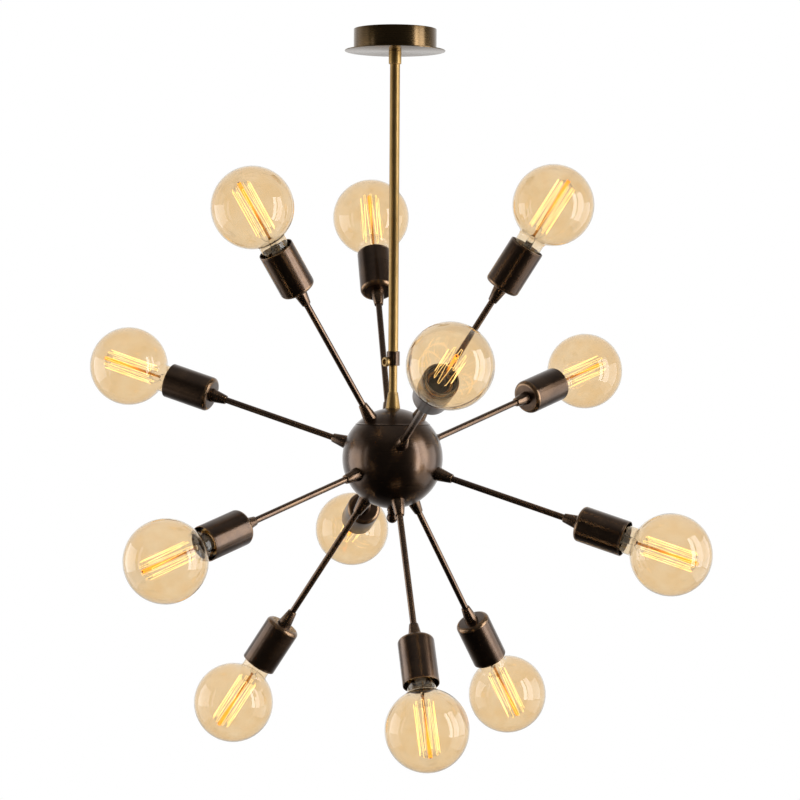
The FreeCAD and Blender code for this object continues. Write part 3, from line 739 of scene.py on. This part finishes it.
@dataclass
class Stem:
    """The coupling, the two telescopic tubes, the clamp collar with its screw, and the cable."""

    tube_wall: float = 0.9
    inner_tube_wall: float = 1.0
    nipple_radius: float = 5.0
    coupling_socket: float = 6.0
    collar_round: float = 0.7
    screw_azimuth: float = 216.0
    screw_drop: float = 12.5
    screw_radius: float = 2.0
    head_radius: float = 5.8
    head_length: float = 4.6
    head_low: float = 8.4
    recess_radius: float = 3.0
    recess_depth: float = 3.0
    cable_rings: int = 90
    tube_radius: float = field(init=False)
    bore: float = field(init=False)

    def __post_init__(self) -> None:
        """Reads the outer tube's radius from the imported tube."""
        self.tube_radius = half_width("stem_outer_tube")
        self.bore = self.tube_radius - self.tube_wall

    def build(self) -> None:
        """Builds the stem from the ceiling down."""
        self._coupling()
        low, high = span("stem_outer_tube")
        outline = sleeve(self.bore, self.tube_radius, low, high)
        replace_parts(turned_piece(outline, "stem_tube_upper", Finish.BRASS, "root"), "stem_outer_tube")
        self._collar()
        self._screw()
        radius = half_width("stem_inner_tube")
        low, high = span("stem_inner_tube")
        outline = sleeve(radius - self.inner_tube_wall, radius, low, high)
        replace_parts(turned_piece(outline, "stem_tube_lower", Finish.BRASS, "inner_stem"), "stem_inner_tube")
        self._cable()

    def _coupling(self) -> None:
        """Builds the threaded coupling under the canopy plate."""
        radius = half_width("stem_coupling")
        low, high = span("stem_coupling")
        outline = (
            Outline(self.tube_radius, low)
            .line(radius, low, 0.9, 0.7)
            .line(radius, high, 0.3, 0.4)
            .line(self.nipple_radius, high)
            .line(self.nipple_radius, low + self.coupling_socket)
            .line(self.tube_radius, low + self.coupling_socket)
            .closed()
        )
        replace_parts(turned_piece(outline, "stem_coupling_sleeve", Finish.BRASS, "root"), "stem_coupling")

    def _collar(self) -> None:
        """Builds the clamp collar at the foot of the outer tube."""
        radius = half_width("clamp_collar")
        low, high = span("clamp_collar")
        seat = span("stem_outer_tube")[0]
        outline = (
            Outline(self.bore, low)
            .line(radius, low, self.collar_round, 1.0)
            .line(radius, high, self.collar_round, 1.0)
            .line(self.tube_radius, high)
            .line(self.tube_radius, seat)
            .line(self.bore, seat)
            .closed()
        )
        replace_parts(turned_piece(outline, "clamp_collar_ring", Finish.DARK_BRONZE, "root"), "clamp_collar")

    def _screw(self) -> None:
        """Builds the thumb screw, whose head is a ring with a hollow face."""
        height = span("clamp_collar")[1] - self.screw_drop
        place = (
            Matrix.Translation((0, 0, height * MM))
            @ Matrix.Rotation(math.radians(self.screw_azimuth), 4, "Z")
            @ Matrix.Rotation(math.pi / 2, 4, "Y")
        )
        tip = self.bore
        face = self.head_low + self.head_length
        outline = (
            Outline(0, tip)
            .line(self.screw_radius, tip, 0.4)
            .line(self.screw_radius, self.head_low)
            .line(self.head_radius, self.head_low, 0.9, 0.8)
            .line(self.head_radius, face, 1.3, 1.0)
            .line(self.recess_radius, face, 1.0, 0.8)
            .line(self.recess_radius, face - self.recess_depth, 0.4)
            .line(0, face - self.recess_depth)
        )
        piece = turned_piece(outline, "thumb_screw_ring", Finish.BRASS, "thumb_screw", place, 48)
        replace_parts(piece, "thumb_screw")

    def _cable(self) -> None:
        """Builds the sheathed cable inside the tubes."""
        radius = half_width("supply_cable")
        low, high = span("supply_cable")
        outline = Outline(0, low).line(radius, low, 0.3)
        for ring in range(1, self.cable_rings):
            outline.line(radius, low + (high - low) * ring / self.cable_rings)
        outline.line(radius, high, 0.3).line(0, high)
        shape = outline.spun(20)
        mark_turning(shape)
        cable = dressed_mesh(shape, "cable_in_stem", Finish.SHEATH)
        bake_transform(cable)
        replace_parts(cable, "supply_cable")


@dataclass
class Hub:
    """The two-piece ball, the cone that carries it and the turned finial that closes it.

    Heights are counted from the ball's centre.
    """

    centre: float
    wall: float = 2.0
    lip: float = 0.45
    lip_height: float = 1.1
    lip_top: float = 1.6
    seam_gap: float = 0.4
    stem_bore: float = 5.0
    cone_narrow: float = 5.9
    cone_wide: float = 8.8
    rod_radius: float = 2.5
    washer_radius: float = 6.2
    washer_height: float = 3.6
    neck_radius: float = 5.0
    neck_height: float = 3.0
    ball_radius: float = 6.7
    radius: float = field(init=False)
    seam: float = field(init=False)
    place: Matrix = field(init=False)

    def __post_init__(self) -> None:
        """Reads the ball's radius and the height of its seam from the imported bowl."""
        self.place = Matrix.Translation((0, 0, self.centre * MM))
        self.radius = half_width("hub_shell")
        self.seam = span("hub_shell")[1] - self.centre

    def build(self) -> None:
        """Builds the cap, the bowl, the stem cone and the finial."""
        seam_angle = math.degrees(math.asin(self.seam / self.radius))
        bore_angle = math.degrees(math.acos(self.stem_bore / self.radius))
        rim = self._across(self.seam)
        cap = (
            Outline(rim - self.wall, self.seam + self.seam_gap)
            .line(rim + self.lip, self.seam + self.seam_gap, 0.2, 0.3)
            .line(self._across(self.seam + self.lip_height) + self.lip, self.seam + self.lip_height, 0.3, 0.5)
            .line(self._across(self.seam + self.lip_top), self.seam + self.lip_top)
        )
        start = math.degrees(math.asin((self.seam + self.lip_top) / self.radius))
        cap.arc(0, 0, bore_angle - start, 28)
        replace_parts(turned_piece(cap, "hub_cap_dome", Finish.DARK_BRONZE, "hub", self.place, 128), "hub_cap")
        rod_angle = math.degrees(math.acos(self.rod_radius / self.radius))
        bowl = Outline(self.rod_radius, -math.sqrt(self.radius**2 - self.rod_radius**2))
        bowl.arc(0, 0, rod_angle + seam_angle, 64)
        bowl.line(rim - self.wall, self.seam)
        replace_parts(turned_piece(bowl, "hub_bowl", Finish.DARK_BRONZE, "hub", self.place, 128), "hub_shell")
        self._cone()
        self._finial()

    def _across(self, height: float) -> float:
        """The ball's radius at a height from its centre."""
        return math.sqrt(self.radius**2 - height**2)

    def _cone(self) -> None:
        """Builds the brass cone at the foot of the stem."""
        top = span("stem_cone")[1] - self.centre
        foot = self._across(self.cone_wide)
        outline = (
            Outline(self.stem_bore, self._across(self.stem_bore))
            .line(self.cone_wide, foot, 0.6, 0.8)
            .line(self.cone_narrow, top, 0.3, 0.8)
            .line(self.stem_bore, top)
            .closed()
        )
        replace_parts(turned_piece(outline, "stem_cone_foot", Finish.BRASS, "hub", self.place), "stem_cone")

    def _finial(self) -> None:
        """Builds the finial: a ring, a second ring and a ball."""
        seat = -self._across(self.washer_radius)
        neck = seat - self.washer_height
        ball_top = neck - self.neck_height
        ball = ball_top - math.sqrt(self.ball_radius**2 - self.neck_radius**2)
        sweep = 90 + math.degrees(math.acos(self.neck_radius / self.ball_radius))
        outline = Outline(0, ball - self.ball_radius)
        outline.arc(0, ball, sweep, 20)
        outline.line(self.neck_radius + 0.6, ball_top + 0.2, 0.2)
        outline.line(self.neck_radius + 0.6, neck - 0.3, 0.8, 0.6)
        outline.line(self.neck_radius - 0.6, neck - 0.2)
        outline.line(self.neck_radius - 0.6, neck)
        outline.line(self.washer_radius, neck, 1.0, 0.7)
        outline.line(self.washer_radius, seat, 0.8, 0.5)
        outline.line(0, seat)
        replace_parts(turned_piece(outline, "hub_finial", Finish.DARK_BRONZE, "hub", self.place), "finial")


@dataclass
class Arm:
    """One arm: its tube, the two cones, the socket cup and the lampholder in it."""

    number: str
    place: Matrix
    hub_radius: float
    tube_tail: float = 16.0
    tube_radius: float = 3.8
    tube_bore: float = 2.8
    cone_narrow: float = 5.3
    cone_wide: float = 8.5
    cone_length: float = 19.0
    reach: float = 241.3
    cup_radius: float = 21.0
    cup_wall: float = 1.0
    cup_length: float = 58.0
    cup_round: float = 5.0
    lip_drop: float = 2.2
    holder_radius: float = 18.5
    holder_bore: float = 13.2
    shell_wall: float = 0.5
    shell_lip: float = 2.0
    holder_length: float = 50.0
    holder_floor: float = 17.0
    tube_grip: float = 10.0

    def build(self) -> None:
        """Builds the arm's pieces."""
        self._tube()
        self._hub_cone()
        self._socket_cone()
        self._cup()
        self._holder()

    def _piece(self, outline: Outline, name: str, finish: Finish, node: str, steps: int = 48) -> None:
        """Turns an outline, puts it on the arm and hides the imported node.

        Args:
            outline: The half outline.
            name: The piece's name, to which the arm's number is added.
            finish: What it is made of.
            node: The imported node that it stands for.
            steps: How many segments go round.
        """
        piece = turned_piece(outline, f"{name}_{self.number}", finish, "hub", self.place, steps)
        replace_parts(piece, node)

    def _tube(self) -> None:
        """Builds the arm's tube."""
        low = self.hub_radius - self.tube_tail
        high = self.reach + self.cup_wall + self.tube_grip
        outline = sleeve(self.tube_bore, self.tube_radius, low, high)
        self._piece(outline, "arm_pipe", Finish.RUBBED_BRONZE, f"arm_tube_{self.number}", 32)

    def _hub_cone(self) -> None:
        """Builds the cone where the arm leaves the hub."""
        foot = math.sqrt(self.hub_radius**2 - self.cone_wide**2)
        top = self.hub_radius + self.cone_length
        outline = (
            Outline(self.tube_radius, math.sqrt(self.hub_radius**2 - self.tube_radius**2))
            .line(self.cone_wide, foot, 0.5, 0.8)
            .line(self.cone_narrow, top, 0.4, 0.9)
            .line(self.tube_radius, top)
            .closed()
        )
        self._piece(outline, "hub_cone", Finish.RUBBED_BRONZE, "hub_cones")

    def _socket_cone(self) -> None:
        """Builds the cone at the back of the cup."""
        start = self.reach - self.cone_length
        outline = (
            Outline(self.tube_radius, start)
            .line(self.cone_narrow, start, 0.4, 0.9)
            .line(self.cone_wide, self.reach, 0.3, 0.5)
            .line(self.tube_radius, self.reach)
            .closed()
        )
        self._piece(outline, "socket_cone", Finish.RUBBED_BRONZE, "socket_cones")

    def _cup(self) -> None:
        """Builds the drawn cup: a rounded back, straight walls and a fine bead at its rim."""
        back, rim = self.reach, self.reach + self.cup_length
        inner = self.cup_radius - self.cup_wall
        outline = (
            Outline(self.tube_radius, back)
            .line(self.cup_radius, back, self.cup_round, 0.75)
            .line(self.cup_radius, rim - self.lip_drop)
            .line(self.cup_radius - 0.25, rim - self.lip_drop + 0.3, 0.1, 0.7)
            .line(self.cup_radius - 0.05, rim - self.lip_drop + 0.7, 0.1, 0.9)
            .line(self.cup_radius, rim, 0.4, 1.0)
            .line(inner, rim, 0.35, 0.8)
            .line(inner, back + self.cup_wall, self.cup_round - self.cup_wall)
            .line(self.tube_radius, back + self.cup_wall)
            .closed()
        )
        self._piece(outline, "socket_cup", Finish.DARK_BRONZE, "socket_cups", 96)

    def _holder(self) -> None:
        """Builds the lampholder: a moulded barrel lined with a brass shell that is flanged at its mouth."""
        floor = self.reach + self.cup_wall
        mouth = floor + self.holder_length
        seat = floor + self.holder_floor
        lined = self.holder_bore + self.shell_wall
        barrel = (
            Outline(self.tube_radius, floor)
            .line(self.cup_radius - self.cup_round, floor)
            .line(self.holder_radius, self.reach + self.cup_round)
            .line(self.holder_radius, mouth - 3, 0.4)
            .line(self.holder_radius - 1.2, mouth - 3, 0.3)
            .line(self.holder_radius - 1.2, mouth, 0.8)
            .line(lined + self.shell_lip, mouth, 0.4)
            .line(lined + self.shell_lip, mouth - 1)
            .line(lined, mouth - 1)
            .line(lined, seat)
            .line(self.tube_radius, seat)
            .closed()
        )
        self._piece(barrel, "holder_barrel", Finish.BAKELITE, "lampholders", 64)
        shell = (
            Outline(self.holder_bore, seat)
            .line(lined, seat)
            .line(lined, mouth - 1)
            .line(lined + self.shell_lip - 0.1, mouth - 1)
            .line(lined + self.shell_lip - 0.1, mouth - 0.4, 0.2)
            .line(self.holder_bore, mouth - 0.4, 0.4)
            .closed()
        )
        self._piece(shell, "holder_shell", Finish.BRASS, "lampholders", 48)


@dataclass
class Bulb:
    """One screw-cap globe bulb with its glass mount and squirrel-cage filament.

    Heights are counted along the arm from the hub's centre, and the rings of hooks from the globe's.
    """

    number: str
    place: Matrix
    tip: float = 267.4
    cap_top: float = 294.4
    globe: float = 356.1
    globe_radius: float = 47.5
    glass_wall: float = 0.8
    tint_from: float = 38.0
    tint_over: float = 14.0
    neck_radius: float = 16.5
    neck_height: float = 4.5
    neck_fillet: float = 6.0
    cap_radius: float = 13.0
    thread_pitch: float = 3.6
    thread_depth: float = 0.75
    thread_start: float = 5.5
    thread_end: float = 21.5
    cap_rings: int = 70
    pinch_start: float = 8.0
    pinch_end: float = 17.0
    hooks: int = 9
    near: float = -33.0
    far: float = 28.0
    cage_radius: float = 11.5
    hook_width: float = 1.9
    wire_radius: float = 0.21
    hook_radius: float = 0.15
    rod_radius: float = 1.5
    rod_end: float = 33.6
    bead_radius: float = 2.3
    body: str = field(init=False)

    def __post_init__(self) -> None:
        """Names the body that the bulb's pieces ride on."""
        self.body = f"bulb_{self.number}"

    def build(self) -> None:
        """Builds the bulb's pieces."""
        self._glass()
        self._cap()
        self._mount()
        self._filament()

    def _piece(self, outline: Outline, name: str, finish: Finish, steps: int) -> bpy.types.Object:
        """Turns an outline and lays it on the bulb's axis.

        Args:
            outline: The half outline.
            name: The piece's name, to which the bulb's number is added.
            finish: What it is made of.
            steps: How many segments go round.

        Returns:
            The piece.
        """
        return turned_piece(outline, f"{name}_{self.number}", finish, self.body, self.place, steps)

    def _glass(self) -> None:
        """Builds the blown globe and neck as one thin shell."""
        across = self.neck_radius + self.neck_fillet
        down = math.sqrt((self.globe_radius + self.neck_fillet) ** 2 - across**2)
        meeting = math.degrees(math.atan2(down, across))
        outline = Outline(self.cap_radius - 0.6, self.cap_top)
        outline.line(self.neck_radius, self.cap_top + self.neck_height, 2.0)
        outline.line(self.neck_radius, self.globe - down)
        outline.arc(across, self.globe - down, -meeting, 6)
        outline.arc(0, self.globe, 90 + meeting, 44)
        shape = outline.spun(72, self.glass_wall)
        thin = shape.verts.layers.float.new("thin")
        for vert in shape.verts:
            vert[thin] = max(0.0, min(1.0, (self.globe - self.tint_from - vert.co.z / MM) / self.tint_over))
        mark_turning(shape)
        glass = finished(shape, f"globe_glass_{self.number}", Finish.AMBER, self.body, self.place)
        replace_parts(glass, f"bulb_glass_{self.number}")

    def _cap(self) -> None:
        """Builds the rolled screw cap, its cement, the insulator and the centre contact."""
        radius, tip = self.cap_radius, self.tip
        shell = Outline(9.6, tip + 3.6).line(radius - 1.4, tip + 4.6, 0.5, 0.3)
        low, high = tip + self.thread_start - 0.8, self.cap_top - 2.0
        for ring in range(self.cap_rings + 1):
            shell.line(radius, low + (high - low) * ring / self.cap_rings)
        shell.line(radius, self.cap_top, 0.5, 0.4).line(radius - 1.2, self.cap_top)
        shape = shell.spun(72)
        for vert in shape.verts:
            self._cut_thread(vert)
        mark_turning(shape)
        piece = finished(shape, f"screw_cap_{self.number}", Finish.CAP_METAL, self.body, self.place)
        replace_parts(piece, f"bulb_base_{self.number}")
        sunk = self.cap_top - 3
        cement = Outline(0, sunk).line(radius - 1.5, sunk).line(radius - 1.3, self.cap_top)
        self._piece(cement, "cap_cement", Finish.CEMENT, 48)
        base = Outline(0, tip + 0.9).line(4.6, tip + 0.9, 0.4).line(9.6, tip + 3.7, 0.5).line(9.0, tip + 4.8)
        self._piece(base, "insulator", Finish.INSULATOR, 40)
        contact = Outline(0, tip).line(3.6, tip, 0.7).line(4.0, tip + 1.2)
        self._piece(contact, "cap_contact", Finish.CAP_METAL, 32)

    def _cut_thread(self, vert: bmesh.types.BMVert) -> None:
        """Pushes a point of the cap in to form the rolled round thread.

        Args:
            vert: A point of the cap's shell.
        """
        height = vert.co.z / MM - self.tip
        if not self.thread_start < height < self.thread_end:
            return
        run_out = min(height - self.thread_start, self.thread_end - height) / 2
        turns = height / self.thread_pitch - math.atan2(vert.co.y, vert.co.x) / FULL_TURN
        depth = self.thread_depth * min(run_out, 1.0) * (0.5 + 0.5 * math.cos(turns * FULL_TURN))
        inward = 1 - depth / (vert.co.xy.length / MM)
        vert.co.x *= inward
        vert.co.y *= inward

    def _mount(self) -> None:
        """Builds the flared glass foot with its flat pinch, and the rod and bead that hold the hooks."""
        pinch_low, pinch_high = self.cap_top + self.pinch_start, self.cap_top + self.pinch_end
        outline = (
            Outline(9.5, self.cap_top - 2)
            .line(5.6, self.cap_top + 3, 2.0)
            .line(4.6, pinch_low, 1.0)
            .line(4.4, pinch_high, 1.2)
            .line(self.rod_radius, pinch_high + 3, 0.8)
            .line(0, pinch_high + 3.5)
        )
        shape = outline.spun(28)
        for vert in shape.verts:
            height = vert.co.z / MM
            share = max(0.0, 1 - abs(height - (pinch_low + pinch_high) / 2) / 9)
            vert.co.y *= 1 - 0.6 * min(1.0, share * 1.6)
        mark_turning(shape)
        finished(shape, f"glass_foot_{self.number}", Finish.CLEAR, self.body, self.place)
        end = self.globe + self.rod_end
        rod = (
            Outline(0, pinch_high + 1)
            .line(self.rod_radius, pinch_high + 1)
            .line(self.rod_radius, end - 34)
            .line(self.bead_radius, end - 16, 0.6)
            .line(self.bead_radius, end, 0.9)
            .line(0, end)
        )
        self._piece(rod, "glass_rod", Finish.ROD, 24)
        plug = Outline(0, end - 0.3).line(1.3, end - 0.3).line(1.3, end + 0.3, 0.2).line(0, end + 0.3)
        self._piece(plug, "rod_plug", Finish.INSULATOR, 16)

    def _filament(self) -> None:
        """Builds the glowing cage, which runs from ring to ring, and the thin hooks and leads."""
        wire = Wire(f"filament_{self.number}", Finish.FILAMENT, self.wire_radius)
        hooks = Wire(f"filament_hooks_{self.number}", Finish.HOOK_WIRE, self.hook_radius)
        half = self.hook_width / 2 / self.cage_radius
        far_root, near_root = self.globe + self.rod_end - 2, self.globe + self.near + 3
        points = []
        for place in range(self.hooks * 2):
            far = place % 2 == 1
            height = self.globe + (self.far if far else self.near)
            turn = FULL_TURN * place / (self.hooks * 2)
            pair = [self._at(turn + side * half, self.cage_radius, height) for side in (-1, 0, 1)]
            points += [pair[0], pair[2]]
            root = (self.bead_radius, far_root) if far else (self.rod_radius, near_root)
            hooks.run([self._at(turn, *root), pair[1]])
        wire.run(points)
        wire.build(self.body, self.place)
        foot = self.cap_top + self.pinch_end
        for point, side in ((points[0], 0.0), (points[-1], -0.5)):
            hooks.run([self._at(side, 2.4, foot), self._at(side, 7.0, foot + 3), point])
        hooks.build(self.body, self.place)

    def _at(self, turn: float, radius: float, height: float) -> tuple[float, float, float]:
        """The point at an angle round the bulb's axis, a radius and a height."""
        return radius * math.cos(turn), radius * math.sin(turn), height


@dataclass
class Wire:
    """Round wire bent along straight runs, made as one mesh of thin tubes."""

    name: str
    finish: Finish
    radius: float
    runs: list[list[tuple[float, float, float]]] = field(default_factory=list)

    def run(self, points: list[tuple[float, float, float]]) -> None:
        """Adds a run of wire through points in millimetres."""
        self.runs.append(points)

    def build(self, body: str, place: Matrix) -> None:
        """Makes the tubes.

        Args:
            body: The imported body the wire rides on.
            place: Where the arm's frame is.
        """
        line = bpy.data.curves.new(self.name, "CURVE")
        line.dimensions = "3D"
        line.bevel_depth = self.radius * MM
        line.bevel_resolution = 1
        line.use_fill_caps = True
        for points in self.runs:
            spline = line.splines.new("POLY")
            spline.points.add(len(points) - 1)
            for knot, point in zip(spline.points, points):
                knot.co = (*(Vector(point) * MM), 1.0)
        carrier = bpy.data.objects.new(self.name, line)
        tubes = bmesh.new()
        mesh = bpy.data.meshes.new_from_object(carrier)
        tubes.from_mesh(mesh)
        bpy.data.objects.remove(carrier)
        bpy.data.meshes.remove(mesh)
        finished(tubes, self.name, self.finish, body, place)


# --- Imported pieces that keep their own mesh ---

KEPT_NODES = {
    "ceiling_crossbar": Finish.ZINC,
    "crossbar_nipple": Finish.ZINC,
    "crossbar_fasteners": Finish.ZINC,
    "hub_yoke": Finish.ZINC,
    "tie_rod": Finish.ZINC,
    "hub_locknuts": Finish.ZINC,
    "arm_wiring": Finish.WIRE,
    "wire_connectors": Finish.CONNECTOR,
}


def dress_kept(nodes: dict[str, bpy.types.Object]) -> None:
    """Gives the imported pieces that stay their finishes, and welds them for smooth shading.

    Args:
        nodes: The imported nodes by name.
    """
    for name, finish in KEPT_NODES.items():
        piece = nodes[name]
        finish.put_on(piece)
        piece.data.polygons.foreach_set("use_smooth", [True] * len(piece.data.polygons))
        weld = piece.modifiers.new("weld", "WELD")
        weld.merge_threshold = KEPT_WELD
        split = piece.modifiers.new("edges", "EDGE_SPLIT")
        split.split_angle = SHARP_ANGLE


# --- Studio ---


@dataclass(frozen=True)
class SoftBox:
    """A flat lamp beside the hub, given by what the hub sees of it.

    Its start and end are degrees from the camera towards +X; the other lengths are metres, and its low
    and high edges are counted from the hub's centre.
    """

    name: str
    start: float
    end: float
    low: float
    high: float
    radiance: float
    distance: float = 1.5

    def place(self, hub: Vector) -> None:
        """Sets the lamp up.

        Args:
            hub: The hub's centre.
        """
        turn = math.radians((self.start + self.end) / 2)
        data = bpy.data.lights.new(self.name, "AREA")
        data.shape = "RECTANGLE"
        data.size = 2 * self.distance * math.tan(math.radians(abs(self.end - self.start) / 2))
        data.size_y = self.high - self.low
        data.energy = self.radiance * math.pi * data.size * data.size_y
        lamp = bpy.data.objects.new(self.name, data)
        outward = Vector((math.sin(turn), -math.cos(turn), 0))
        middle = hub + outward * self.distance + Vector((0, 0, (self.low + self.high) / 2))
        lamp.matrix_world = Matrix.Translation(middle) @ outward.to_track_quat("Z", "Y").to_matrix().to_4x4()
        lamp.visible_camera = False
        lamp.visible_transmission = False
        bpy.context.scene.collection.objects.link(lamp)


SOFT_BOXES = (
    SoftBox("right_front", 69, 87, -0.6, 0.95, 4.4),
    SoftBox("right_back", 87, 116, -0.55, 0.42, 1.9),
    SoftBox("right_low", 66, 120, -1.3, -0.6, 1.0),
    SoftBox("right_strip", 56, 66, -0.6, 0.95, 6.6),
    SoftBox("left_front", -76, -118, -0.5, 0.4, 2.2),
    SoftBox("left_high", -78, -125, 0.4, 0.95, 0.35),
    SoftBox("left_low", -74, -122, -1.2, -0.5, 0.7),
    SoftBox("left_strip", -62, -68, -0.45, 0.6, 1.3),
)


@dataclass
class Studio:
    """The camera, the soft boxes, the white backdrop and the pale floor."""

    stand: tuple[float, float, float] = (0.0084, -3.260, 0.1126)
    pitch: float = -0.765
    roll: float = 0.363
    lens: float = 123.9
    fill: float = 0.8
    floor_drop: float = 1.1
    floor_lift: float = 0.32

    def build(self, hub: Vector, low: Vector) -> None:
        """Builds the studio.

        Args:
            hub: The hub's centre, which the camera's stand is counted from.
            low: The lowest corner of the lamp.
        """
        self._camera(hub)
        for box in SOFT_BOXES:
            box.place(hub)
        self._world()
        self._floor(low.z - self.floor_drop)

    def _camera(self, hub: Vector) -> None:
        """Places the camera where the photograph was taken from."""
        data = bpy.data.cameras.new("camera")
        data.sensor_width = 36.0
        data.lens = self.lens
        camera = bpy.data.objects.new("camera", data)
        camera.matrix_world = (
            Matrix.Translation(hub + Vector(self.stand))
            @ Matrix.Rotation(math.radians(90 + self.pitch), 4, "X")
            @ Matrix.Rotation(math.radians(self.roll), 4, "Z")
        )
        bpy.context.scene.collection.objects.link(camera)
        bpy.context.scene.camera = camera

    def _world(self) -> None:
        """Makes the surroundings: white to look at, pale behind the lamp and dim in front of it."""
        world = bpy.data.worlds.new("studio")
        bpy.context.scene.world = world
        world.use_nodes = True
        tree = world.node_tree
        tree.nodes.clear()
        rays = add(tree, "ShaderNodeLightPath").outputs
        direction = add(tree, "ShaderNodeTexCoord").outputs["Generated"]
        toward = add(tree, "ShaderNodeSeparateXYZ", {0: direction}).outputs
        behind = add(tree, "ShaderNodeMapRange", (toward["Y"], 0.15, 1.0, 0.03, 0.92)).outputs[0]
        lower = add(tree, "ShaderNodeMapRange", (toward["Z"], -1.0, -0.1, 0.1, 1.0)).outputs[0]
        above = add(tree, "ShaderNodeMapRange", (toward["Z"], 0.5, 1.0, 0.0, 0.25)).outputs[0]
        dimmed = add(tree, "ShaderNodeMath", (behind, lower), operation="MULTIPLY").outputs[0]
        glossy = add(tree, "ShaderNodeMath", (dimmed, above), operation="MAXIMUM").outputs[0]
        straight = (rays["Is Camera Ray"], rays["Is Transmission Ray"])
        seen = add(tree, "ShaderNodeMath", straight, operation="MAXIMUM").outputs[0]
        colours = {0: rays["Is Glossy Ray"], 6: (self.fill,) * 3 + (1.0,), 7: glossy}
        around = add(tree, "ShaderNodeMix", colours, data_type="RGBA").outputs[2]
        colours = {0: seen, 6: around, 7: (1.0, 1.0, 1.0, 1.0)}
        colour = add(tree, "ShaderNodeMix", colours, data_type="RGBA").outputs[2]
        background = add(tree, "ShaderNodeBackground", {"Color": colour, "Strength": 1.0})
        add(tree, "ShaderNodeOutputWorld", {"Surface": background.outputs["Background"]})

    def _floor(self, height: float) -> None:
        """Lays the pale floor, which is lifted to white for the camera and clear from below.

        Args:
            height: The floor's Z in metres.
        """
        shape = bmesh.new()
        bmesh.ops.create_circle(shape, cap_ends=True, radius=4.5, segments=96)
        bmesh.ops.translate(shape, vec=(0, 0, height), verts=shape.verts)
        mesh = bpy.data.meshes.new("floor")
        shape.to_mesh(mesh)
        shape.free()
        floor = bpy.data.objects.new("floor", mesh)
        floor.visible_glossy = False
        material, tree, shader = new_material("pale_floor")
        seen = add(tree, "ShaderNodeLightPath").outputs["Is Camera Ray"]
        under = add(tree, "ShaderNodeNewGeometry").outputs["Backfacing"]
        inputs = {
            "Base Color": linear("#f4f3f1"),
            "Roughness": 0.9,
            "Emission Color": linear("#ffffff"),
            "Emission Strength": add(
                tree, "ShaderNodeMapRange", (seen, 0.0, 1.0, 0.0, self.floor_lift)
            ).outputs[0],
            "Alpha": add(tree, "ShaderNodeMapRange", (under, 0.0, 1.0, 1.0, 0.0)).outputs[0],
        }
        feed(tree, shader, inputs)
        mesh.materials.append(material)
        bpy.context.scene.collection.objects.link(floor)
        floor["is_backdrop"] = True


# --- Main ---


def arm_places(joints: list[dict], centre: Vector) -> dict[str, Matrix]:
    """Reads each arm's frame from the slide joint of its bulb.

    Args:
        joints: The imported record's joints.
        centre: The hub's centre.

    Returns:
        For each arm's number, the matrix that takes +Z at the origin to the arm at the hub.
    """
    places = {}
    for joint in joints:
        words = joint["name"].split("_")
        if words[0] != "bulb":
            continue
        axis = Vector(joint["axis"])
        azimuth = math.atan2(axis.y, axis.x)
        tilt = math.acos(axis.z / axis.length)
        turn = Matrix.Rotation(azimuth, 4, "Z") @ Matrix.Rotation(tilt, 4, "Y")
        places[words[1]] = Matrix.Translation(centre) @ turn
    return places


def main() -> None:
    """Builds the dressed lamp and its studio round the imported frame."""
    logging.basicConfig(level=logging.INFO, format="%(name)s: %(message)s")
    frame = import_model()
    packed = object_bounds()
    swivel = next(joint for joint in frame["joints"] if joint["name"] == "hub_swivel")
    centre = Vector(swivel["pos_m"])
    scene = bpy.context.scene
    scene.view_settings.view_transform = "Standard"
    dress_kept(frame["nodes"])
    Canopy().build()
    Stem().build()
    hub = Hub(centre.z / MM)
    hub.build()
    for number, place in sorted(arm_places(frame["joints"], centre).items()):
        Arm(number, place, hub.radius).build()
        Bulb(number, place).build()
    Studio().build(centre, packed[0])


if __name__ == "__main__":
    main()
